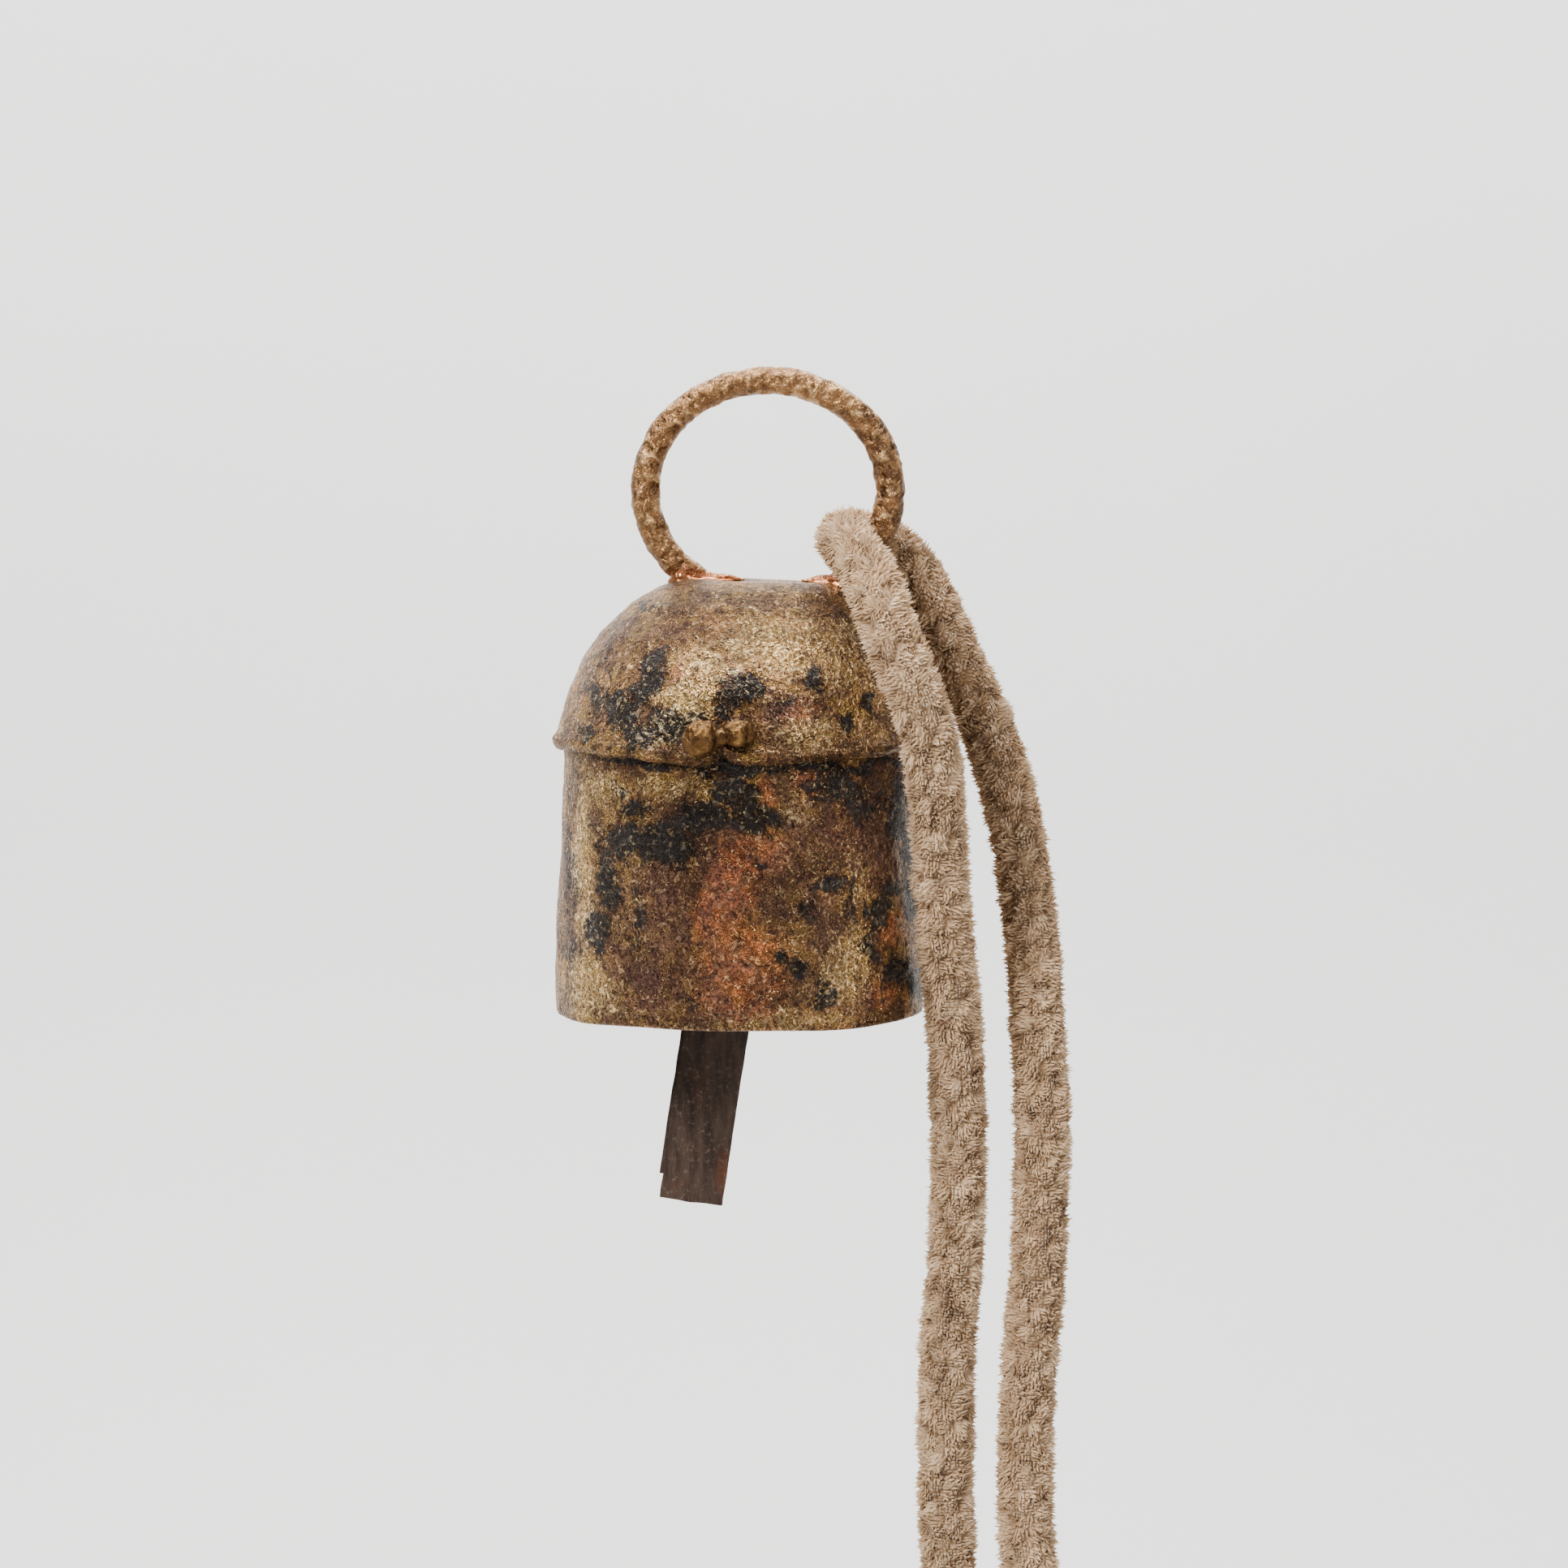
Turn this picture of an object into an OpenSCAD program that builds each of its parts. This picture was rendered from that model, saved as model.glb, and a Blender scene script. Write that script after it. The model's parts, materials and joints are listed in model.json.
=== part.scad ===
// Small handmade sheet-metal bell on a soft cord.
// Origin: the point under the top of the hanging ring where a hook or a twig takes the weight.
// +Z is up, and the ring lies in the XZ plane. All sizes in millimetres.

/* [Bell] */
// Thickness of the skirt's and the crown's sheet
sheet_t = 0.8; // [0.5:0.05:1.2]
// Outer radius of the skirt at its mouth
mouth_r = 16; // [13:0.1:21]
// Height from the crown's lip down to the mouth
skirt_h = 23.2; // [17:0.1:30]
// Outer radius of the crown's lip
lip_r = 16; // [13.2:0.1:21]
// Height of the crown from its lip to its flat top
crown_h = 14.1; // [11:0.1:18]
// Radius of the crown's flat top
crown_top_r = 7; // [5.8:0.1:8.5]
// Height of the flared lip
lip_h = 2.6; // [2:0.1:4]
// How far the lip flares out past the dome above it
lip_flare = 0.8; // [0.5:0.05:1.2]
// How far the bell's axis sits to the left of the ring's centre
bell_lean = 2.5; // [0:0.1:3.5]
// Angle that the skirt's lapped seam covers
seam_angle = 14; // [8:1:30]
// Gap left between the crown and the skirt tucked into it
seam_gap = 0.05; // [0.02:0.01:0.1]

/* [Hanging ring] */
// Inner radius of the ring
ring_inner_r = 9; // [7.7:0.1:11]
// Diameter of the ring's wire
ring_wire_d = 2.4; // [1.8:0.1:3]
// How far the ring's bent feet reach along the crown's top
foot_reach = 6; // [4.5:0.1:7]
// Diameter of the hammered feet
foot_d = 1.4; // [1:0.1:1.8]
// Distance from the ring's hook point down to the crown's flat top
crown_drop = 15.9; // [14.5:0.1:17]
// Radius of the braze pooled at each foot
braze_r = 2.3; // [1.8:0.1:2.8]

/* [Rim stitch] */
// Diameter of the wire that ties crown and skirt together
stitch_d = 1.1; // [0.8:0.05:1.4]
// Distance between the stitch's two ends
stitch_gap = 3.2; // [2.8:0.1:5]
// Radius of the larger hammered end
big_nub_r = 1.6; // [1.2:0.1:2]
// Radius of the smaller hammered end
small_nub_r = 1.05; // [0.8:0.05:1.5]
// Clearance of wires in their holes
wire_clearance = 0.05; // [0.02:0.01:0.1]

/* [Clapper] */
// Length of the front leaf below the link
leaf_l = 46.3; // [38:0.1:56]
// How much shorter the back leaf is
leaf_step = 2; // [0:0.1:5]
// Width of the strip
leaf_w = 5.5; // [4.6:0.1:6.6]
// Thickness of the strip's sheet
leaf_t = 0.6; // [0.4:0.05:0.8]
// Gap between the two leaves
leaf_gap = 0.2; // [0.1:0.05:0.6]
// Angle between the two leaves, seen from the front
leaf_splay = 0.7; // [0:0.1:2]
// Lean of the clapper at rest
clapper_lean = 8; // [0:0.5:10]
// Width of the strip where it folds over the link
neck_w = 3.6; // [3:0.1:4.3]
// Diameter of the link's wire
link_d = 1; // [0.8:0.05:1.2]
// Inner width of the link
link_w = 5.4; // [5.2:0.1:6.6]
// Inner height of the link
link_h = 3.6; // [3.2:0.1:4.4]
// Diameter of the staple's wire
staple_d = 1.2; // [1:0.05:1.4]
// Distance between the staple's legs
staple_w = 4.4; // [3.8:0.1:5.4]
// Depth of the staple's bar under the crown's top
staple_drop = 4.7; // [4.4:0.1:6]

/* [Cord] */
// Diameter of the cord with its pile
cord_d = 5.4; // [4.5:0.1:5.8]
// Half width of the knot
knot_r = 6.4; // [5.4:0.1:7.7]
// Half height of the knot
knot_half_h = 5.8; // [5:0.1:7]

/* [Hidden] */
$fn = 64;
crown_top_z = -crown_drop;
lip_z = crown_top_z - crown_h;
side_z = lip_z + lip_h;
mouth_z = lip_z - skirt_h;
side_r = lip_r - lip_flare;
lip_edge_h = 0.7;
lip_roll = 0.1;
bell_x = -bell_lean;

dome_steps = 10;
seam_end_gap = 1;

ring_wire_r = ring_wire_d / 2;
ring_r = ring_inner_r + ring_wire_r;
ring_z = -ring_inner_r;
foot_sink = 0.2;
foot_z = crown_top_z + foot_d / 2 - foot_sink;
leg_x = sqrt(pow(ring_r, 2) - pow(ring_z - foot_z, 2));

nub_proud = 0.55;
stitch_mid = -1.5;
stitch_inset = 0.6;
stitch_z = side_z - (lip_h - lip_edge_h) / 2;
small_nub_lift = 0.5;

pivot_x = 0.5;
pivot_z = crown_top_z - staple_drop;
hang_gap = 0.05;
bend_r = 1.2;
link_top = staple_d / 2 + hang_gap + link_d / 2;
link_mid_w = link_w + link_d;
link_mid_h = link_h + link_d;
eye_z = link_top - link_mid_h;
eye_bore_r = link_d / 2 + wire_clearance;
eye_r = eye_bore_r + leaf_t;
neck_h = 3;
neck_end = 8;

// The cord's route: up the front, round the ring's right limb and down the back.
cord_route = [
    [17.6, -2, -113], [16.1, -2.6, -107], [15.7, -3, -101.5], [15.4, -3, -95],
    [15.4, -3, -88], [15.6, -3, -81.5], [16.2, -3, -74.5], [16.4, -3, -68],
    [16.4, -3, -61.5], [16.1, -3.6, -55], [15.4, -5.4, -48], [14.8, -6.8, -41.5],
    [14.4, -8.4, -35.5], [13.9, -10.2, -30.5], [12.9, -11.2, -26.5], [11.5, -11.3, -23],
    [10.3, -10.6, -20], [9.3, -8.9, -17.1], [8.2, -6, -14.6], [7, -3, -13],
    [6.6, -0.2, -12.3], [7.4, 2, -12.3], [9.1, 3.6, -12.7], [11.2, 4.4, -13.8],
    [13.4, 4.8, -16.4], [15.2, 5, -20.2], [16.9, 5, -24], [18.8, 5, -27.9],
    [20.2, 4, -32], [21.4, 3, -36.5], [22.3, 2.4, -42], [23.1, 1, -49],
    [23.4, 0, -55], [23.8, -0.5, -62], [23.7, -1, -69], [23.4, -1.4, -76],
    [22.8, -1.7, -83], [22.4, -2, -90], [22.4, -2, -97], [22.7, -2, -102.5],
    [21.8, -2, -108], [20, -2, -113]
];
knot_at = [18.8, -2, -118.2];
left_tail_route = [[17.6, -2, -121], [16.9, -2.6, -127], [16.3, -3, -133], [16, -3.2, -139]];
right_tail_route = [[20, -2, -121], [20.9, -1.6, -128], [21.4, -1.2, -135], [21.5, -1, -142]];
cord_sides = 10;

// A quarter of an ellipse from the flat top's edge down to the side, inset by a wall.
function dome_points(inset) = [
    for (i = [0 : dome_steps])
        let (a = 90 * i / dome_steps)
        [
            crown_top_r + (side_r - crown_top_r - inset) * sin(a),
            side_z + (crown_top_z - side_z - inset) * cos(a)
        ]
];

// The crown's outside as a filled body, which the pieces on top of it are cut to.
module crown_form() {
    translate([bell_x, 0, 0])
        rotate_extrude()
            polygon(concat(
                [[0, lip_z], [0, crown_top_z]],
                dome_points(0),
                [[lip_r, lip_z + lip_edge_h], [lip_r - lip_roll, lip_z]]
            ));
}

// The crown's inside, open below the lip.
module crown_hollow() {
    translate([bell_x, 0, 0])
        rotate_extrude()
            polygon(concat(
                [[0, lip_z - 1], [0, crown_top_z - sheet_t]],
                dome_points(sheet_t),
                [[lip_r - sheet_t, lip_z + lip_edge_h], [lip_r - sheet_t, lip_z - 1]]
            ));
}

// The two straight wires of the rim stitch, as holes or as wire.
module stitch_wires(gap) {
    for (side = [-1, 1])
        translate([bell_x + stitch_mid + side * stitch_gap / 2, 0, stitch_z])
            rotate([90, 0, 0])
                translate([0, 0, side_r - 2 * sheet_t - stitch_inset])
                    cylinder(r = stitch_d / 2 + gap, h = 2 * sheet_t + 2 * stitch_inset + 0.3);
}

// The staple's two legs, as holes or as wire.
module staple_legs(gap) {
    for (side = [-1, 1])
        translate([pivot_x, side * staple_w / 2, pivot_z + bend_r])
            cylinder(r = staple_d / 2 + gap, h = staple_drop - bend_r);
}

module skirt() {
    tuck_r = lip_r - sheet_t - seam_gap;
    top_r = side_r - sheet_t - seam_gap;
    color([0.55, 0.40, 0.27])
        difference() {
            translate([bell_x, 0, 0]) {
                rotate_extrude()
                    polygon([
                        [top_r, side_z],
                        [tuck_r, lip_z + lip_edge_h],
                        [tuck_r, lip_z],
                        [mouth_r, mouth_z],
                        [mouth_r - sheet_t, mouth_z],
                        [tuck_r - sheet_t, lip_z],
                        [top_r - sheet_t, side_z]
                    ]);
                rotate([0, 0, 90 - seam_angle / 2])
                    rotate_extrude(angle = seam_angle)
                        polygon([
                            [tuck_r - sheet_t / 2, lip_z - seam_end_gap],
                            [tuck_r + sheet_t / 2, lip_z - seam_end_gap],
                            [mouth_r + sheet_t, mouth_z],
                            [mouth_r - sheet_t / 2, mouth_z]
                        ]);
            }
            stitch_wires(wire_clearance);
        }
}

module crown() {
    color([0.58, 0.48, 0.30])
        difference() {
            crown_form();
            crown_hollow();
            stitch_wires(wire_clearance);
            translate([0, 0, sheet_t])
                staple_legs(wire_clearance);
        }
}

// One end of the ring's wire, bent inwards along the crown's top and hammered thin.
module ring_foot(side) {
    translate([side * (leg_x - foot_reach), 0, foot_z]) {
        rotate([0, side * 90, 0])
            cylinder(d = foot_d, h = foot_reach);
        sphere(d = foot_d);
    }
}

module hanging_ring() {
    color([0.50, 0.35, 0.22])
        difference() {
            union() {
                translate([0, 0, ring_z])
                    rotate([90, 0, 0])
                        rotate_extrude()
                            translate([ring_r, 0])
                                circle(d = ring_wire_d);
                for (side = [-1, 1])
                    ring_foot(side);
            }
            crown_form();
        }
}

// Braze pooled round one foot, cut to the ring and to the crown's top.
module braze(side) {
    color([0.80, 0.48, 0.32])
        difference() {
            translate([side * (leg_x - 1), 0, crown_top_z - braze_r / 3])
                sphere(r = braze_r);
            crown_form();
            hanging_ring();
        }
}

module left_braze() {
    braze(-1);
}

module right_braze() {
    braze(1);
}

module rim_stitch() {
    big_at = [bell_x + stitch_mid - stitch_gap / 2, -(side_r + nub_proud * big_nub_r), stitch_z];
    small_at = [
        bell_x + stitch_mid + stitch_gap / 2,
        -(side_r + nub_proud * small_nub_r),
        stitch_z + small_nub_lift
    ];
    color([0.52, 0.42, 0.26]) {
        difference() {
            union() {
                translate(big_at)
                    sphere(r = big_nub_r);
                translate(small_at)
                    sphere(r = small_nub_r);
                translate([big_at[0], -side_r - stitch_d / 2, stitch_z])
                    rotate([0, 90, 0])
                        cylinder(d = stitch_d, h = stitch_gap);
            }
            crown_form();
        }
        stitch_wires(0);
        translate([big_at[0], -(side_r - 2 * sheet_t - stitch_inset), stitch_z])
            rotate([0, 90, 0])
                cylinder(d = stitch_d, h = stitch_gap);
    }
}

// A straight wire between two points of one axis-parallel line.
module wire(from, axis, length, d) {
    translate(from)
        rotate(axis)
            cylinder(d = d, h = length);
}

// A quarter bend of wire in the plane z = 0, from +X round to +Y.
module wire_bend(r, d) {
    rotate_extrude(angle = 90)
        translate([r, 0])
            circle(d = d);
}

module clapper_staple() {
    bar_l = staple_w - 2 * bend_r;
    color([0.42, 0.30, 0.22]) {
        staple_legs(0);
        wire([pivot_x, bar_l / 2, pivot_z], [90, 0, 0], bar_l, staple_d);
        for (side = [-1, 1])
            translate([pivot_x, side * bar_l / 2, pivot_z + bend_r])
                rotate([0, 90, side > 0 ? 0 : 180])
                    wire_bend(bend_r, staple_d);
    }
}

// Everything that hangs from the staple leans by the same angle.
module hung() {
    translate([pivot_x, 0, pivot_z])
        rotate([0, clapper_lean, 0])
            children();
}

module clapper_link() {
    bar_x = link_mid_w / 2 - bend_r;
    bar_z = link_mid_h / 2 - bend_r;
    color([0.42, 0.32, 0.24])
        hung()
            translate([0, 0, link_top - link_mid_h / 2])
                rotate([90, 0, 0])
                    for (turn = [0, 180])
                        rotate([0, 0, turn]) {
                            wire([-bar_x, link_mid_h / 2, 0], [0, 90, 0], 2 * bar_x, link_d);
                            wire([link_mid_w / 2, bar_z, 0], [90, 0, 0], 2 * bar_z, link_d);
                            translate([bar_x, bar_z, 0])
                                wire_bend(bend_r, link_d);
                            translate([-bar_x, bar_z, 0])
                                rotate([0, 0, 90])
                                    wire_bend(bend_r, link_d);
                        }
}

// One leaf of the folded strip, hanging from the eye at the origin.
module leaf(length) {
    rotate([90, 0, 0])
        linear_extrude(leaf_t)
            polygon([
                [-neck_w / 2, -eye_bore_r - 0.2], [neck_w / 2, -eye_bore_r - 0.2],
                [neck_w / 2, -neck_h], [leaf_w / 2, -neck_end],
                [leaf_w / 2, -length], [-leaf_w / 2, -length],
                [-leaf_w / 2, -neck_end], [-neck_w / 2, -neck_h]
            ]);
}

module clapper() {
    color([0.28, 0.22, 0.18])
        hung()
            translate([0, 0, eye_z])
                difference() {
                    union() {
                        translate([-neck_w / 2, 0, 0])
                            rotate([0, 90, 0])
                                cylinder(r = eye_r, h = neck_w);
                        translate([0, -leaf_gap / 2, 0])
                            leaf(leaf_l);
                        translate([0, leaf_gap / 2 + leaf_t, 0])
                            rotate([0, leaf_splay, 0])
                                leaf(leaf_l - leaf_step);
                    }
                    translate([-neck_w, 0, 0])
                        rotate([0, 90, 0])
                            cylinder(r = eye_bore_r, h = 2 * neck_w);
                }
}

function unit(v) = v / norm(v);

// The direction of a route at one of its points.
function heading(route, i) = unit(
    route[min(i + 1, len(route) - 1)] - route[max(i - 1, 0)]
);

// The points of one ring of a tube, square to the route.
function ring_points(route, i, r) =
    let (
        along = heading(route, i),
        side = unit(cross(along, [1, 0, 0])),
        over = cross(along, side)
    )
    [
        for (k = [0 : cord_sides - 1])
            let (a = 360 * k / cord_sides)
            route[i] + r * (side * cos(a) + over * sin(a))
    ];

// A tube swept along a route as one closed shell.
module tube(route, r) {
    last = len(route) - 1;
    points = [for (i = [0 : last]) each ring_points(route, i, r)];
    walls = [
        for (i = [0 : last - 1], k = [0 : cord_sides - 1])
            let (
                next = (k + 1) % cord_sides,
                a = i * cord_sides
            )
            [a + k, a + cord_sides + k, a + cord_sides + next, a + next]
    ];
    start_cap = [[for (k = [0 : cord_sides - 1]) k]];
    end_cap = [[for (k = [0 : cord_sides - 1]) last * cord_sides + cord_sides - 1 - k]];
    polyhedron(points, concat(walls, start_cap, end_cap));
}

module cord() {
    color([0.66, 0.56, 0.46])
        tube(cord_route, cord_d / 2);
}

module cord_knot() {
    color([0.64, 0.54, 0.44])
        translate(knot_at)
            rotate_extrude()
                polygon([
                    for (i = [0 : 12])
                        let (a = 180 * i / 12)
                        [knot_r * sin(a), knot_half_h * cos(a)]
                ]);
}

module left_tail() {
    color([0.66, 0.56, 0.46])
        tube(left_tail_route, cord_d / 2);
}

module right_tail() {
    color([0.66, 0.56, 0.46])
        tube(right_tail_route, cord_d / 2);
}

skirt();
crown();
hanging_ring();
left_braze();
right_braze();
rim_stitch();
clapper_staple();
clapper_link();
clapper();
cord();
cord_knot();
left_tail();
right_tail();
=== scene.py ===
# %% [markdown]
# A small rustic bell, made by hand from thin iron sheet and wire, coated with brass and copper
# filings in a fire, and tied to a soft chenille cord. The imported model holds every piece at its
# real size and place. This script gives each piece its handmade surface and its finish.
# Everything is in metres, so sizes are written in millimetres times MM.

# %% Load the frame
import json
import math

import bpy
import numpy as np
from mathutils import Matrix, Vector, noise


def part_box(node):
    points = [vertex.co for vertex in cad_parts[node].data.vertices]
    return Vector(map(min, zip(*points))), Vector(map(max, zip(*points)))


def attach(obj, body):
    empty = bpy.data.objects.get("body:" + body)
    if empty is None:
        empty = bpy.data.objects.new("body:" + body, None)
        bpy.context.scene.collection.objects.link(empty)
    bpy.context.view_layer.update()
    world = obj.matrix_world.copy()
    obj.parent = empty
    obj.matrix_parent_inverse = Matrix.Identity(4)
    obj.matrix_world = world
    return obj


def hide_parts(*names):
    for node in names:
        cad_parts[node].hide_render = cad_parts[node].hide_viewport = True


MM = 0.001
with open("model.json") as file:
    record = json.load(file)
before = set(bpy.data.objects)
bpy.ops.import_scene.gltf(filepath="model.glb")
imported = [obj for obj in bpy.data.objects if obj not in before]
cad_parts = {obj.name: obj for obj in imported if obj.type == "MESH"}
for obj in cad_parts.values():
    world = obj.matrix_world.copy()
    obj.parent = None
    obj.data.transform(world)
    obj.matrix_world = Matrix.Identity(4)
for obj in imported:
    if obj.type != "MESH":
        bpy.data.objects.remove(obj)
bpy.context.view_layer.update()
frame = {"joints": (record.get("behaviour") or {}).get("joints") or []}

# %% [markdown]
# The camera comes first. It stands a little above the crown, about forty centimetres away, and
# looks down by four degrees through a portrait lens, which keeps the round mouth nearly flat.

# %% Camera
camera_data = bpy.data.cameras.new("camera")
camera_data.sensor_width = 36.0
camera_data.lens = 108.6
camera = bpy.data.objects.new("camera", camera_data)
camera.location = (1.4 * MM, -408 * MM, -5 * MM)
LOOK_DOWN = 4
camera.rotation_euler = (math.radians(90 - LOOK_DOWN), 0, 0)
bpy.context.scene.collection.objects.link(camera)
bpy.context.scene.camera = camera
print("lens", camera_data.lens)

# %% [markdown]
# The sizes that several pieces share. The bell's axis sits a little to the left of the ring's
# centre, because the maker never squared it up, and the crown's top leans back to the right.

# %% Shared sizes
bell_low, bell_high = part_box("skirt")
crown_low, crown_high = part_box("crown")
BELL_X = (crown_low[0] + crown_high[0]) / 2 / MM
MOUTH_Z = bell_low[2] / MM
TUCK_Z = bell_high[2] / MM
LIP_Z = crown_low[2] / MM
TOP_Z = crown_high[2] / MM
MOUTH_R = (bell_high[0] - bell_low[0]) / 2 / MM
SHEET = 0.8
CROWN_LEAN = 1.5
CORD_R = 2.7
print("bell axis", round(BELL_X, 2), "mouth", round(MOUTH_Z, 1), "lip", round(LIP_Z, 1))


def smooth_step(low, high, value):
    """0 below low, 1 above high and a soft ramp between them."""
    t = np.clip((np.asarray(value, float) - low) / (high - low), 0.0, 1.0)
    return t * t * (3 - 2 * t)


def noise_at(points, scale, offset=0.0):
    """Smooth noise from about -1 to 1 at an array of points in millimetres."""
    shift = Vector((offset, offset * 0.7, -offset * 1.3))
    return np.array([noise.noise(Vector(p) * scale + shift) for p in points.tolist()])


def add_piece(name, verts_mm, faces, smooth=True):
    """A mesh object from points in millimetres."""
    mesh = bpy.data.meshes.new(name)
    mesh.from_pydata((np.asarray(verts_mm) * MM).tolist(), [], [list(f) for f in faces])
    mesh.update()
    mesh.polygons.foreach_set("use_smooth", [smooth] * len(mesh.polygons))
    piece = bpy.data.objects.new(name, mesh)
    bpy.context.scene.collection.objects.link(piece)
    print(name, len(mesh.vertices), "points,", len(mesh.polygons), "faces")
    return piece


def stand_for(piece, node, body):
    """Hides the solid that the piece shows and makes the piece move with its body."""
    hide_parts(node)
    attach(piece, body)


def vectors_of(vertices, what="co"):
    """Every vertex's place, or another vector it has, as rows of three."""
    flat = np.empty(len(vertices) * 3)
    vertices.foreach_get(what, flat)
    return flat.reshape(-1, 3)


def round_loop(count):
    """The numbers of the points of a ring, and of the point after each."""
    k = np.arange(count)
    return k, (k + 1) % count


# %% [markdown]
# A wire, a cord or a strip all follow a line. A few listed points are joined by a Catmull-Rom
# curve, which passes through every one of them, and then spaced out evenly. Rings drawn along it
# need a frame that doesn't twist, so each frame is the last one turned just enough to stay square
# to the line.


# %% Lines and frames along them
def line_length(line):
    """The length of a line of points."""
    return float(np.linalg.norm(np.diff(line, axis=0), axis=1).sum())


def evenly(points, count, closed=False):
    """The same line with its points spaced out evenly."""
    run = np.concatenate([[0], np.cumsum(np.linalg.norm(np.diff(points, axis=0), axis=1))])
    at = np.linspace(0, run[-1], count, endpoint=not closed)
    return np.stack([np.interp(at, run, points[:, k]) for k in range(3)], axis=1)


def smooth_line(points, spacing):
    """The curve through the points, resampled at about the spacing given."""
    pts = np.array(points, float)
    padded = np.vstack([2 * pts[0] - pts[1], pts, 2 * pts[-1] - pts[-2]])
    fine = []
    for i in range(1, len(padded) - 2):
        p0, p1, p2, p3 = padded[i - 1 : i + 3]
        bend, twist = 2 * p0 - 5 * p1 + 4 * p2 - p3, 3 * p1 - p0 - 3 * p2 + p3
        for t in np.linspace(0, 1, 24, endpoint=False):
            fine.append(0.5 * (2 * p1 + (p2 - p0) * t + bend * t**2 + twist * t**3))
    fine = np.array(fine + [pts[-1]])
    return evenly(fine, max(4, int(round(line_length(fine) / spacing)) + 1))


def frames_along(line):
    """Headings, and two directions square to them that don't twist."""
    heading = np.gradient(line, axis=0)
    heading /= np.linalg.norm(heading, axis=1)[:, None]
    start = np.cross(heading[0], [0.3, 1.0, 0.2])
    sides = [start / np.linalg.norm(start)]
    for h in heading[1:]:
        side = sides[-1] - h * np.dot(sides[-1], h)
        sides.append(side / np.linalg.norm(side))
    sides = np.array(sides)
    return heading, sides, np.cross(heading, sides)


# %% [markdown]
# The cord is chenille: short fibres trapped between two twisted core threads, so that they stand
# out all round and gather into soft tufts. Hair particles would be lost in the exported mesh.
# Here the pile's surface is a tube that swells a little at every tuft, and each small cell of it
# is drawn out to a fibre tip that leans the way its tuft leans. That gives one closed mesh. The
# tufts climb round the core with its twist, and no two are alike.


# %% Tufts
TUFT_ALONG, TUFTS_ROUND, TWIST_PER_MM = 1.20, 11, 0.12
TUFT_R, TUFT_STRAY, TUFT_TABLE = 1.10, 1.1, 97
print("a tuft is", TUFT_ALONG, "mm long, and", TUFTS_ROUND, "go round")


def tuft_field(run, angle, radius, rng):
    """At each place: how near its tuft's middle is, the way there, and the tuft's own numbers."""
    table = rng.random((TUFT_TABLE, TUFTS_ROUND, 5))
    run, angle = np.broadcast_arrays(run, angle)
    u = run / TUFT_ALONG
    v = (angle - TWIST_PER_MM * run) * TUFTS_ROUND / (2 * np.pi)
    i = np.floor(u).astype(int)
    arc = 2 * np.pi * radius / TUFTS_ROUND
    best = np.full(u.shape, 1e9)
    to_u, to_v = np.zeros(u.shape), np.zeros(u.shape)
    own = np.zeros(u.shape + (3,))
    for di in (-1, 0, 1):
        brick = 0.5 * ((i + di) % 2)
        j = np.floor(v - brick).astype(int)
        for dj in (-1, 0, 1):
            cell = table[(i + di) % TUFT_TABLE, (j + dj) % TUFTS_ROUND]
            du = (i + di + 0.5 + TUFT_STRAY * (cell[..., 0] - 0.5) - u) * TUFT_ALONG
            dv = (j + dj + 0.5 + brick + TUFT_STRAY * (cell[..., 1] - 0.5) - v) * arc
            away = np.hypot(du, dv)
            nearer = away < best
            best = np.where(nearer, away, best)
            to_u, to_v = np.where(nearer, du, to_u), np.where(nearer, dv, to_v)
            own[nearer] = cell[..., 2:][nearer]
    dome = np.clip(1 - (best / TUFT_R) ** 2, 0, 1)
    return dome, to_u, to_v, own


# %% Chenille
ROOT_AT, TIP_AT, TIP_LEAST, TIP_MOST = 0.71, 0.875, 0.72, 1.09
STRAY_FROM = 0.965


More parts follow.
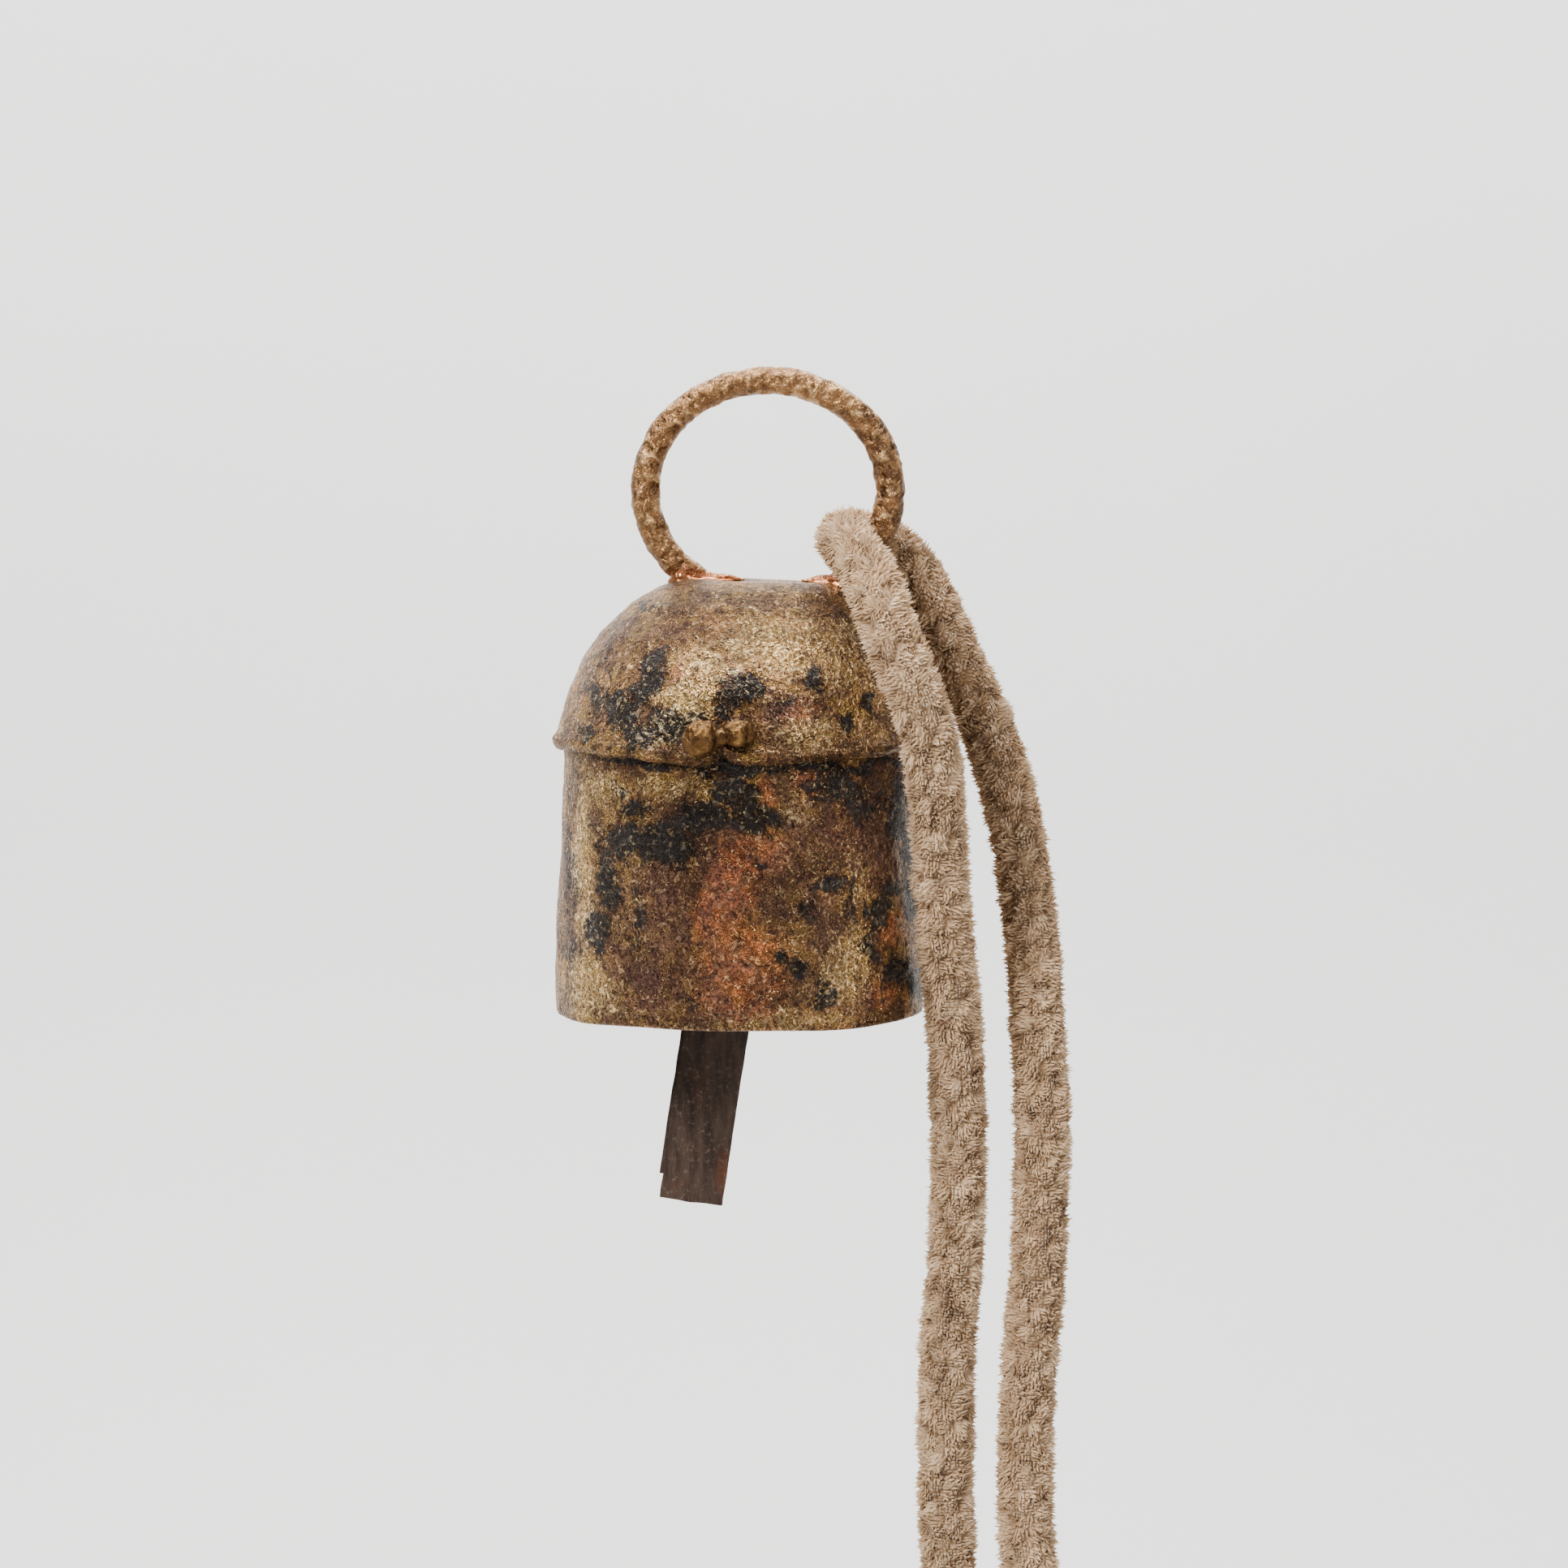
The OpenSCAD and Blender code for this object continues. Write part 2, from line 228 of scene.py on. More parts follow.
def chenille(name, line, seed, around=52, pile_r=CORD_R, keep_out=None, brush_end=False):
    """One closed mesh of fibre tips round a line that runs in even steps."""
    rng = np.random.default_rng(seed)
    heading, side, over = frames_along(line)
    rings = len(line)
    step = line_length(line) / (rings - 1)
    angle = 2 * np.pi * np.arange(around) / around

    def turned(rows, angles):
        """Directions straight out of the core and round it, for each row and angle."""
        cos, sin = np.cos(angles)[None, :, None], np.sin(angles)[None, :, None]
        out = side[rows][:, None, :] * cos + over[rows][:, None, :] * sin
        return out, over[rows][:, None, :] * cos - side[rows][:, None, :] * sin

    row = np.arange(rings - 1)
    run = np.arange(rings) * step
    base_out, _ = turned(np.arange(rings), angle)
    table_seed = rng.integers(1 << 30)
    dome, _, _, own = tuft_field(run[:, None], angle[None, :], pile_r, np.random.default_rng(table_seed))
    taper = np.ones(rings)
    if brush_end:
        taper = 1 - 0.45 * smooth_step(rings - 9, rings - 1, np.arange(rings))
    base_r = pile_r * (ROOT_AT + 0.08 * dome + 0.05 * (own[..., 0] - 0.5)) * taper[:, None]
    base = line[:, None, :] + base_out * base_r[:, :, None]
    mid_angle = angle + np.pi / around
    mid = (line[1:] + line[:-1]) / 2
    tip_out, tip_round = turned(row, mid_angle)
    tip_dome, to_u, to_v, tip_own = tuft_field(
        (run[:-1] + step / 2)[:, None], mid_angle[None, :], pile_r, np.random.default_rng(table_seed)
    )
    fine = rng.normal(0, 1, (rings - 1, around))
    stray = rng.random((rings - 1, around)) > STRAY_FROM
    reach = TIP_AT + 0.09 * tip_dome + 0.10 * (tip_own[..., 0] - 0.5) + 0.05 * fine + 0.06 * stray
    reach = pile_r * np.clip(reach, TIP_LEAST, TIP_MOST) * taper[:-1, None]
    lean_on = 0.10 * to_u + 0.65 * (tip_own[..., 1] - 0.5) + 0.15 * rng.normal(0, 1, fine.shape)
    lean_round = 0.10 * to_v + 0.65 * (tip_own[..., 2] - 0.5) + 0.15 * rng.normal(0, 1, fine.shape)
    if brush_end:
        lean_on = lean_on + 1.5 * smooth_step(rings - 8, rings - 1, row)[:, None]
    tips = (
        mid[:, None, :]
        + tip_out * reach[:, :, None]
        + tip_round * lean_round[:, :, None]
        + heading[:-1, None, :] * lean_on[:, :, None]
    )
    verts = np.concatenate([base.reshape(-1, 3), tips.reshape(-1, 3), line[[0, -1]]])
    if keep_out is not None:
        verts = keep_out(verts)
    k, nxt = round_loop(around)
    a = (row[:, None] * around + k[None, :]).ravel()
    b = (row[:, None] * around + nxt[None, :]).ravel()
    c, d = a + around, b + around
    t = rings * around + np.arange((rings - 1) * around)
    faces = np.concatenate([np.stack(tri, axis=1) for tri in ((a, b, t), (b, d, t), (d, c, t), (c, a, t))])
    first, last = len(verts) - 2, len(verts) - 1
    caps = [(first, n, m) for m, n in zip(k, nxt)]
    end = (rings - 1) * around
    caps += [(last, end + m, end + n) for m, n in zip(k, nxt)]
    piece = add_piece(name, verts, np.concatenate([faces, np.array(caps)]), smooth=False)
    tip_shade = tip_own[..., 0] + 0.3 * (rng.random(fine.shape) - 0.5)
    # Painted shade: the first value is low at the roots and between the tufts and high at the fibre tips,
    # and the finish darkens the pile where it is low.
    depth = np.concatenate([0.40 * dome.ravel(), (0.45 + 0.45 * tip_dome + 0.10 * fine).ravel(), [0, 0]])
    shade = np.concatenate([own[..., 0].ravel(), tip_shade.ravel(), [0, 0]])
    for attribute, values in (("fibre_depth_shade", depth), ("fibre_shade", shade)):
        stored = piece.data.attributes.new(attribute, "FLOAT", "POINT")
        stored.data.foreach_set("value", np.clip(values, 0, 1))
    return piece


# %% [markdown]
# The cord's route is the one that the solid model was built on, repeated here point by point.
# It leaves the knot, climbs in front of the bell, goes through the ring and round its right
# limb, and comes back down behind. The visible part is about 95 mm on each side.

# %% The cord's line
CORD_ROUTE = [
    (17.6, -2, -113), (16.1, -2.6, -107), (15.7, -3, -101.5), (15.4, -3, -95),
    (15.4, -3, -88), (15.6, -3, -81.5), (16.2, -3, -74.5), (16.4, -3, -68),
    (16.4, -3, -61.5), (16.1, -3.6, -55), (15.4, -5.4, -48), (14.8, -6.8, -41.5),
    (14.4, -8.4, -35.5), (13.9, -10.2, -30.5), (12.9, -11.2, -26.5), (11.5, -11.3, -23),
    (10.3, -10.6, -20), (9.3, -8.9, -17.1), (8.2, -6, -14.6), (7, -3, -13),
    (6.6, -0.2, -12.3), (7.4, 2, -12.3), (9.1, 3.6, -12.7), (11.2, 4.4, -13.8),
    (13.4, 4.8, -16.4), (15.2, 5, -20.2), (16.9, 5, -24), (18.8, 5, -27.9),
    (20.2, 4, -32), (21.4, 3, -36.5), (22.3, 2.4, -42), (23.1, 1, -49),
    (23.4, 0, -55), (23.8, -0.5, -62), (23.7, -1, -69), (23.4, -1.4, -76),
    (22.8, -1.7, -83), (22.4, -2, -90), (22.4, -2, -97), (22.7, -2, -102.5),
    (21.8, -2, -108), (20, -2, -113),
]
LEFT_TAIL = [(17.6, -2, -121), (16.9, -2.6, -127), (16.3, -3, -133), (16, -3.2, -139)]
RIGHT_TAIL = [(20, -2, -121), (20.9, -1.6, -128), (21.4, -1.2, -135), (21.5, -1, -142)]
KNOT_AT = (18.8, -2, -118.2)
FIBRE_STEP = 0.25
cord_line = smooth_line(CORD_ROUTE, FIBRE_STEP)

# %% [markdown]
# Two places squash the pile: where the front run lies against the bell, and where the cord
# bends round the ring's wire. Fibre tips that would end inside the metal are pushed back to its
# surface. The bell's outside is known as a radius at each height, and the ring as an ellipse.

# %% What squashes the pile
CROWN_PROFILE = [
    (0, TOP_Z), (3.5, TOP_Z), (6.0, TOP_Z - 0.05), (7.0, TOP_Z - 0.3), (8.3, TOP_Z - 0.8),
    (10.5, TOP_Z - 2.2), (12.9, TOP_Z - 4.8), (14.2, TOP_Z - 7.0), (15.0, TOP_Z - 9.3),
    (15.45, TOP_Z - 11.5), (15.75, TOP_Z - 12.7), (16.1, TOP_Z - 13.4),
]
RING_A, RING_B, RING_Z = 10.55, 9.4, -8.15
RING_WIRE_R = 1.22
BELL_GAP, WIRE_GAP = 0.12, 0.03


def bell_radius(z):
    """The bell's outer radius at a height, in millimetres."""
    r, h = zip(*reversed(CROWN_PROFILE))
    crown = np.interp(z, h, r)
    skirt = np.interp(z, (MOUTH_Z, LIP_Z), (MOUTH_R, 15.2))
    radius = np.where(z > LIP_Z, crown, skirt)
    return np.where((z > TOP_Z) | (z < MOUTH_Z), 0.0, radius)


def lean_at(z):
    """How far the handmade crown leans to the right at a height."""
    return CROWN_LEAN * np.clip((z - LIP_Z) / (TOP_Z - LIP_Z), 0, 1)


def clear_of_metal(points):
    """Points moved out of the bell and out of the ring's wire."""
    p = points.copy()
    x = p[:, 0] - BELL_X - lean_at(p[:, 2])
    gap = np.hypot(x, p[:, 1])
    wanted = bell_radius(p[:, 2]) + BELL_GAP
    grow = np.where((gap < wanted) & (gap > 1), wanted / np.maximum(gap, 1e-6), 1.0)
    p[:, 0] = BELL_X + lean_at(p[:, 2]) + x * grow
    p[:, 1] *= grow
    angle = np.arctan2((p[:, 2] - RING_Z) / RING_B, p[:, 0] / RING_A)
    on_ring = np.stack([RING_A * np.cos(angle), 0 * angle, RING_Z + RING_B * np.sin(angle)], axis=1)
    away = p - on_ring
    far = np.linalg.norm(away, axis=1)
    wanted = RING_WIRE_R + WIRE_GAP
    near = (far < wanted) & (p[:, 2] > TOP_Z)
    p[near] = on_ring[near] + away[near] / far[near][:, None] * wanted
    return p


# %% [markdown]
# One mesh is drawn along the whole loop. The two tails are meshes of their own, because each is a
# node of its own in the solid model, and their last fibres are brushed out as at a cut end.

# %% The cord
cord = chenille("chenille_cord", cord_line, seed=7, keep_out=clear_of_metal)
left_tail = chenille("left_tail_end", smooth_line(LEFT_TAIL, FIBRE_STEP), seed=11, brush_end=True)
right_tail = chenille("right_tail_end", smooth_line(RIGHT_TAIL, FIBRE_STEP), seed=12, brush_end=True)

# %% [markdown]
# The loop is closed by an overhand knot in the doubled cord, just below the part that hangs in
# view. What shows of such a knot is the band that wraps round the two runs, so the band is
# modelled: a little over two turns that start and end inside the knot.


# %% The knot
def knot_band(turns=2.3, radius=3.5, rise=6.2, tilt=0.22):
    """The line of the wrapping band, from inside the knot, round it and back in."""
    line = []
    for t in np.linspace(0, 1, 90):
        turn = 2 * math.pi * turns * t + 2.4
        inwards = min(1.0, t / 0.12, (1 - t) / 0.12)
        r = radius * (0.35 + 0.65 * inwards)
        x, y = r * math.cos(turn), r * math.sin(turn)
        line.append((KNOT_AT[0] + x, KNOT_AT[1] + y, KNOT_AT[2] + rise * (0.5 - t) + tilt * x))
    return line


knot = chenille("knot_band", smooth_line(knot_band(), FIBRE_STEP), seed=21, pile_r=2.6)
stand_for(cord, "cord", "bell")
stand_for(knot, "cord_knot", "bell")
stand_for(left_tail, "left_tail", "bell")
stand_for(right_tail, "right_tail", "bell")

# %% [markdown]
# Crown and skirt are turned shells: a profile carried round the axis. Real sheet keeps its
# thickness where it is dented, so the dents move the outside and the inside together, and only
# a finer roughness belongs to the outside alone. The profile runs down the outside, round the
# cut edge and back up the inside, which gives one closed skin.


# %% Turned shells
def dense_profile(points, spacing):
    """The points of an outline, with more of them added along each straight stretch."""
    dense = []
    for (r0, z0), (r1, z1) in zip(points, points[1:]):
        n = max(1, int(math.hypot(r1 - r0, z1 - z0) / spacing))
        dense += [(r0 + (r1 - r0) * i / n, z0 + (z1 - z0) * i / n) for i in range(n)]
    return dense + [points[-1]]


def turned_shell(name, outside, inside, around, shape, closed_top):
    """Carries outside and inside round the axis. shape(angle, r, z, outer) bends each point."""
    profile = [(r, z, 1.0) for r, z in outside] + [(r, z, 0.0) for r, z in inside]
    rows = len(profile)
    angle = 2 * np.pi * np.arange(around) / around
    r, z, outer = (np.repeat(np.array(column)[:, None], around, axis=1) for column in zip(*profile))
    a = np.repeat(angle[None, :], rows, axis=0)
    verts = shape(a.ravel(), r.ravel(), z.ravel(), outer.ravel())
    k, nxt = round_loop(around)
    faces = []
    last_row = rows - 1 if closed_top else rows
    for i in range(last_row):
        j = (i + 1) % rows
        faces.append(np.stack([i * around + k, j * around + k, j * around + nxt, i * around + nxt], axis=1))
    faces = [tuple(f) for f in np.concatenate(faces).tolist()]
    if closed_top:
        faces.append(tuple(int(v) for v in k))
        faces.append(tuple(int(v) for v in (rows - 1) * around + k[::-1]))
    outer_faces = len(outside) * around
    piece = add_piece(name, verts, faces)
    slots = np.ones(len(faces), dtype=np.int32)
    slots[:outer_faces] = 0
    if closed_top:
        slots[-2] = 0
    piece.data.polygons.foreach_set("material_index", slots)
    return piece


# %% [markdown]
# The crown was beaten into a hollow, so it is a dome with a nearly flat top, soft flats left by
# the hammer and a lip that flares over the skirt. The lip was trimmed by eye: it dips at the
# front, ripples, and has a nick under the stitch.

# %% Crown
NUB_ANGLE = -math.pi / 2 - 0.09


def crown_shape(angle, r, z, outer):
    """Where the beaten crown has each point of the turned one."""
    down = np.clip((TOP_Z - z) / (TOP_Z - LIP_Z), 0, 1.05)
    at = np.stack([r * np.cos(angle), r * np.sin(angle), z], axis=1)
    dents = 0.30 * noise_at(at, 0.13, 3.0) + 0.14 * noise_at(at, 0.34, 9.0)
    crumple = outer * (0.045 * noise_at(at, 1.1, 5.0) + 0.03 * noise_at(at, 2.6, 6.0))
    # A soft ridge that runs up the front left from the lip to the top.
    ridge = np.exp(-(((angle + 2 * np.pi) % (2 * np.pi) - 4.35) / 0.10) ** 2)
    dents = dents + 0.22 * ridge * smooth_step(0.05, 0.35, down) * (1 - smooth_step(0.7, 0.95, down))
    front = np.clip(-np.sin(angle), 0, 1) ** 2
    edge = smooth_step(0.80, 1.0, down)
    ripple = 0.10 * np.sin(5 * angle + 1) + 0.07 * np.sin(11 * angle) + 0.05 * np.sin(23 * angle + 2)
    nick = np.exp(-(((angle - NUB_ANGLE + np.pi) % (2 * np.pi) - np.pi) / 0.045) ** 2)
    drop = edge * (0.70 * front - ripple - 0.75 * nick)
    tilt = 0.03 * at[:, 0] * (1 - down)
    radius = r + dents * smooth_step(2.0, 7.0, r) + crumple + edge * 0.12 * np.sin(7 * angle + 2)
    lift = (0.10 * noise_at(at, 0.22, 4.0) + 0.5 * crumple) * (1 - smooth_step(5.0, 9.0, r))
    x = BELL_X + lean_at(z) + radius * np.cos(angle)
    y = radius * np.sin(angle)
    return np.stack([x, y, z - drop - tilt + lift - 0.12 * (1 - smooth_step(1.0, 6.5, r))], axis=1)


LIP = [(16.15, LIP_Z + 0.75), (16.05, LIP_Z + 0.35), (15.75, LIP_Z - 0.05), (15.55, LIP_Z - 0.15)]
HOLLOW = [
    (15.25, LIP_Z + 0.05), (15.2, LIP_Z + 0.8), (14.6, LIP_Z + 2.8), (14.0, LIP_Z + 5.2),
    (12.2, LIP_Z + 9.2), (9.8, LIP_Z + 11.7), (7.2, LIP_Z + 12.9), (3.5, LIP_Z + 13.3),
]
OUTSIDE_STEP, PIP_R = 0.24, 0.15
crown_out = dense_profile([(PIP_R, TOP_Z)] + CROWN_PROFILE[1:] + LIP, OUTSIDE_STEP)
crown_in = dense_profile(HOLLOW + [(PIP_R, LIP_Z + 13.3)], 0.55)
crown = turned_shell("crown_shell", crown_out, crown_in, 600, crown_shape, closed_top=True)
stand_for(crown, "crown", "bell")

# %% [markdown]
# The skirt is a strip rolled into a slightly flared tube. Its two ends overlap at the back,
# where the lap shows as a step down the whole height. The top is pinched in to go under the
# crown's lip, and the mouth keeps the edge that the snips left.

# %% Skirt
SEAM_HALF = math.radians(7)


def skirt_shape(angle, r, z, outer):
    """Where the rolled skirt has each point of the turned one."""
    height = (z - MOUTH_Z) / (LIP_Z - MOUTH_Z)
    at = np.stack([r * np.cos(angle), r * np.sin(angle), z], axis=1)
    free = 1 - smooth_step(0.92, 1.02, height)
    dents = free * (0.20 * noise_at(at, 0.10, 13.0) + 0.12 * noise_at(at, 0.30, 17.0))
    crumple = outer * (0.04 * noise_at(at, 1.0, 15.0) + 0.035 * noise_at(at, 2.4, 16.0))
    # One end lies over the other: it rises slowly from one side and drops off at its cut edge.
    past = (angle - np.pi / 2 + np.pi) % (2 * np.pi) - np.pi
    over = smooth_step(-5 * SEAM_HALF, -SEAM_HALF, past)
    over = over * (1 - smooth_step(SEAM_HALF - 0.012, SEAM_HALF, past))
    lap = outer * over * free * (0.75 + 0.08 * np.sin(0.7 * z))
    flare = 0.22 * (1 - smooth_step(0.0, 0.10, height))
    radius = r + dents + crumple + lap - flare * 0.4
    cut = (1 - smooth_step(0.0, 0.05, height)) * (0.10 * np.sin(3 * angle + 1) + 0.05 * np.sin(8 * angle))
    x = BELL_X + radius * np.cos(angle)
    return np.stack([x, radius * np.sin(angle), z + cut], axis=1)


skirt_out = dense_profile(
    [(14.3, TUCK_Z), (15.05, LIP_Z + 0.8), (15.15, LIP_Z), (MOUTH_R - 0.05, MOUTH_Z + 0.25),
     (MOUTH_R - 0.12, MOUTH_Z + 0.08), (MOUTH_R - 0.3, MOUTH_Z)],
    OUTSIDE_STEP,
)
skirt_in = dense_profile(
    [(MOUTH_R - 0.6, MOUTH_Z + 0.05), (MOUTH_R - SHEET, MOUTH_Z + 0.3), (14.35, LIP_Z), (13.55, TUCK_Z)], 0.8
)
skirt = turned_shell("skirt_shell", skirt_out, skirt_in, 640, skirt_shape, closed_top=False)
stand_for(skirt, "skirt", "bell")

# %% [markdown]
# Hammered wire is a tube whose radius wanders. The same function makes the hanging ring, the
# staple and the link. A closed wire joins its last ring to its first, an open one gets caps.


# %% Hammered wire
def hammered_wire(name, line, radius, seed, around=28, lumps=0.08, closed=False):
    """A lumpy wire along a line. radius may be one value or one for each point of the line."""
    heading, side, over = frames_along(line)
    rings = len(line)
    radius = np.broadcast_to(np.asarray(radius, float), (rings,))
    angle = 2 * np.pi * np.arange(around) / around
    cos, sin = np.cos(angle)[None, :, None], np.sin(angle)[None, :, None]
    out = side[:, None, :] * cos + over[:, None, :] * sin
    shell = (line[:, None, :] + out * radius[:, None, None]).reshape(-1, 3)
    big = noise_at(shell, 0.75, seed).reshape(rings, around)
    small = noise_at(shell, 2.0, seed + 5).reshape(rings, around)
    pits = noise_at(shell, 4.2, seed + 8).reshape(rings, around)
    scale = 1 + lumps * (0.8 * big + 0.55 * small + 0.30 * pits)
    verts = line[:, None, :] + out * (radius[:, None] * scale)[:, :, None]
    k, nxt = round_loop(around)
    faces = []
    for i in range(rings if closed else rings - 1):
        j = (i + 1) % rings
        faces += [(i * around + a, i * around + b, j * around + b, j * around + a) for a, b in zip(k, nxt)]
    if not closed:
        faces += [tuple(k[::-1]), tuple((rings - 1) * around + k)]
    return add_piece(name, verts.reshape(-1, 3), faces)


# %% [markdown]
# The ring is a little wider than it is tall. Its two ends turn inwards where they meet the
# crown, are hammered thin and lie along the top, so the line of the wire goes foot, limb, top,
# limb, foot, and the radius falls towards each end.

# %% Hanging ring
LEFT_TIP = (-2.0, 0, TOP_Z + 0.05)
RIGHT_TIP = (2.9, 0, TOP_Z - 0.05)
LIMB_FROM, LIMB_TO = -43, 223
turn = np.radians(np.linspace(LIMB_FROM, LIMB_TO, 60))
limbs = [(RING_A * math.cos(a), 0, RING_Z + RING_B * math.sin(a)) for a in turn]
ring_points = (
    [RIGHT_TIP, (4.4, 0, TOP_Z), (6.0, 0, TOP_Z + 0.15)]
    + limbs
    + [(-5.6, 0, TOP_Z + 0.3), (-4.2, 0, TOP_Z + 0.15), LEFT_TIP]
)
ring_line = smooth_line(ring_points, 0.16)
run = np.linspace(0, 1, len(ring_line))
from_end = np.minimum(run, 1 - run) * line_length(ring_line)
TIP_THIN, FOOT_THIN = 0.10, 0.36
foot_thin = TIP_THIN + (FOOT_THIN - TIP_THIN) * smooth_step(0.0, 1.8, from_end)
foot_thin = foot_thin + (1 - FOOT_THIN) * smooth_step(2.0, 6.5, from_end)
ring_radius = RING_WIRE_R * foot_thin * (1 + 0.05 * np.sin(9 * run) - 0.05 * smooth_step(0.5, 0.9, run))
ring = hammered_wire("hanging_ring_wire", ring_line, ring_radius, seed=41, lumps=0.13)
stand_for(ring, "hanging_ring", "bell")

# %% [markdown]
# Braze and hammered wire ends are blobs that melt into each other. Overlapping rough shapes are
# joined, remeshed with small voxels into one skin and smoothed, and noise then gives that skin
# its hammer marks.


# %% Blobs
MELT_TURNS = 6


def blob(name, balls, seed, voxel=0.11, rough=0.06):
    """One skin round balls given as (x, y, z, rx, ry, rz) in millimetres."""
    verts, faces = [], []
    rows, cols = 16, 24
    for x, y, z, rx, ry, rz in balls:
        start = len(verts)
        for i in range(rows + 1):
            tilt = math.pi * i / rows
            for j in range(cols):
                spin = 2 * math.pi * j / cols
                girth = math.sin(tilt)
                out = (rx * girth * math.cos(spin), ry * girth * math.sin(spin), rz * math.cos(tilt))
                verts.append((x + out[0], y + out[1], z + out[2]))
        for i in range(rows):
            for j in range(cols):
                a, b = start + i * cols + j, start + i * cols + (j + 1) % cols
                faces.append((a, a + cols, b + cols, b))
    piece = add_piece(name, verts, faces)
    remesh = piece.modifiers.new("one skin", "REMESH")
    remesh.mode = "VOXEL"
    remesh.voxel_size = voxel * MM
    soften = piece.modifiers.new("melt", "SMOOTH")
    soften.factor = 0.5
    soften.iterations = MELT_TURNS
    depsgraph = bpy.context.evaluated_depsgraph_get()
    skin = bpy.data.meshes.new_from_object(piece.evaluated_get(depsgraph))
    piece.modifiers.clear()
    piece.data = skin
    places, normals = vectors_of(skin.vertices) / MM, vectors_of(skin.vertices, "normal")
    move = rough * (noise_at(places, 1.3, seed) + 0.6 * noise_at(places, 3.0, seed + 2))
    skin.vertices.foreach_set("co", ((places + normals * move[:, None]) * MM).ravel())
    skin.polygons.foreach_set("use_smooth", [True] * len(skin.polygons))
    skin.update()
    print(name, "remeshed to", len(skin.polygons), "faces")
    return piece


# %% [markdown]
# Braze flowed out round the ring's feet and froze there as two flat pools, the left one longer.
# A few flattened balls along each foot give such a pool once they are melted together.

# %% Braze at the ring's feet
left_braze = blob(
    "left_braze_pool",
    [(-7.1, 0, TOP_Z - 0.15, 1.5, 1.5, 0.75), (-5.6, 0, TOP_Z - 0.05, 1.8, 1.3, 0.45),
     (-4.2, 0, TOP_Z - 0.05, 1.6, 0.8, 0.26), (-7.4, 0, TOP_Z + 0.3, 1.0, 1.35, 1.0)],
    seed=51,
)
right_braze = blob(
    "right_braze_pool",
    [(6.6, 0, TOP_Z - 0.5, 1.6, 1.5, 0.85), (5.2, 0, TOP_Z - 0.25, 1.6, 1.2, 0.4),
     (7.4, 0, TOP_Z - 0.2, 1.0, 1.4, 1.3)],
    seed=52,
)
stand_for(left_braze, "left_braze", "bell")
stand_for(right_braze, "right_braze", "bell")

# %% [markdown]
# A wire stitch ties crown and skirt together. Its two ends come out through the lip at the
# front and were beaten into knobs, the left one larger. Inside, the wire runs straight across
# from one hole to the other.

# %% Rim stitch
stitch = blob(
    "rim_stitch_wire",
    [(-5.55, -16.45, -28.65, 1.55, 1.35, 1.6), (-5.2, -16.2, -28.3, 1.2, 1.2, 1.2),
     (-2.5, -16.3, -28.2, 1.2, 1.0, 1.15), (-1.7, -16.05, -28.1, 0.85, 0.75, 0.95),
     (-3.9, -16.2, -28.5, 0.9, 0.65, 0.7)],
    seed=61,
    voxel=0.09,
    rough=0.09,
)
stand_for(stitch, "rim_stitch", "bell")

# %% [markdown]
# Under the crown a U of wire carries the clapper's link. Both are plain wire that never saw the
# hammer, so they keep an even section. Their places come from the solid model: the staple's bar
# is the first joint's axis, and the link's lower bar the second one's.

# %% Staple and link
joints = {j["name"]: j for j in frame["joints"]}
side_joint, front_joint = joints["clapper_side_swing"], joints["clapper_front_swing"]
pivot = np.array(side_joint["pos_m"]) / MM
eye = np.array(front_joint["pos_m"]) / MM
LEAN = math.asin(-front_joint["axis"][2])
across = np.array([math.cos(LEAN), 0, -math.sin(LEAN)])
down = (eye - pivot) / np.linalg.norm(eye - pivot)
staple_low, staple_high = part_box("clapper_staple")
leg_y = (staple_high[1] - staple_low[1]) / 2 / MM - 0.6
staple_top = staple_high[2] / MM - 0.35
half_u = [
    (leg_y, staple_top), (leg_y, pivot[2] + 2.2),
    (leg_y - 0.25, pivot[2] + 0.6), (1.2, pivot[2] + 0.02),
]
staple_points = (
    [(pivot[0], -y, z) for y, z in half_u]
    + [(pivot[0], 0, pivot[2])]
    + [(pivot[0], y, z) for y, z in reversed(half_u)]
)
staple = hammered_wire("staple_wire", smooth_line(staple_points, 0.15), 0.57, seed=71, around=20, lumps=0.05)
stand_for(staple, "clapper_staple", "bell")


def link_line(half_w=3.2, half_h=2.3, bend=1.2, steps=10):
    """The closed line of the link's rounded loop."""
    middle = pivot - down * (1.15 - half_h)
    points = []
    for quarter in range(4):
        cx = (half_w - bend) * (1 if quarter in (0, 3) else -1)
        cz = (half_h - bend) * (1 if quarter in (0, 1) else -1)
        for i in range(steps + 1):
            a = math.pi / 2 * (quarter + i / steps)
            u, v = cx + bend * math.cos(a), cz + bend * math.sin(a)
            points.append(middle + across * u - down * v)
    return evenly(np.array(points + [points[0]]), 130, closed=True)


link = hammered_wire("link_wire", link_line(), 0.48, seed=72, around=16, lumps=0.05, closed=True)
stand_for(link, "clapper_link", "link")

# %% [markdown]
# The clapper is one strip folded over the link. Its long leaf hangs in front, bowed a little
# across its width and bent a touch to the left half way down, and the short leaf behind it has
# slipped sideways. The strip was cut with snips, so its edges wander and its corners are sharp.

# %% Clapper
LEAF_L, LEAF_W, NECK_W, LEAF_T = 46.3, 5.5, 3.6, 0.5
BACK_STEP, EYE_R = 2.0, 0.92


def strip_width(along):
    """Half the strip's width at a distance below the eye."""
    return (NECK_W + (LEAF_W - NECK_W) * smooth_step(3, 8, along)) / 2


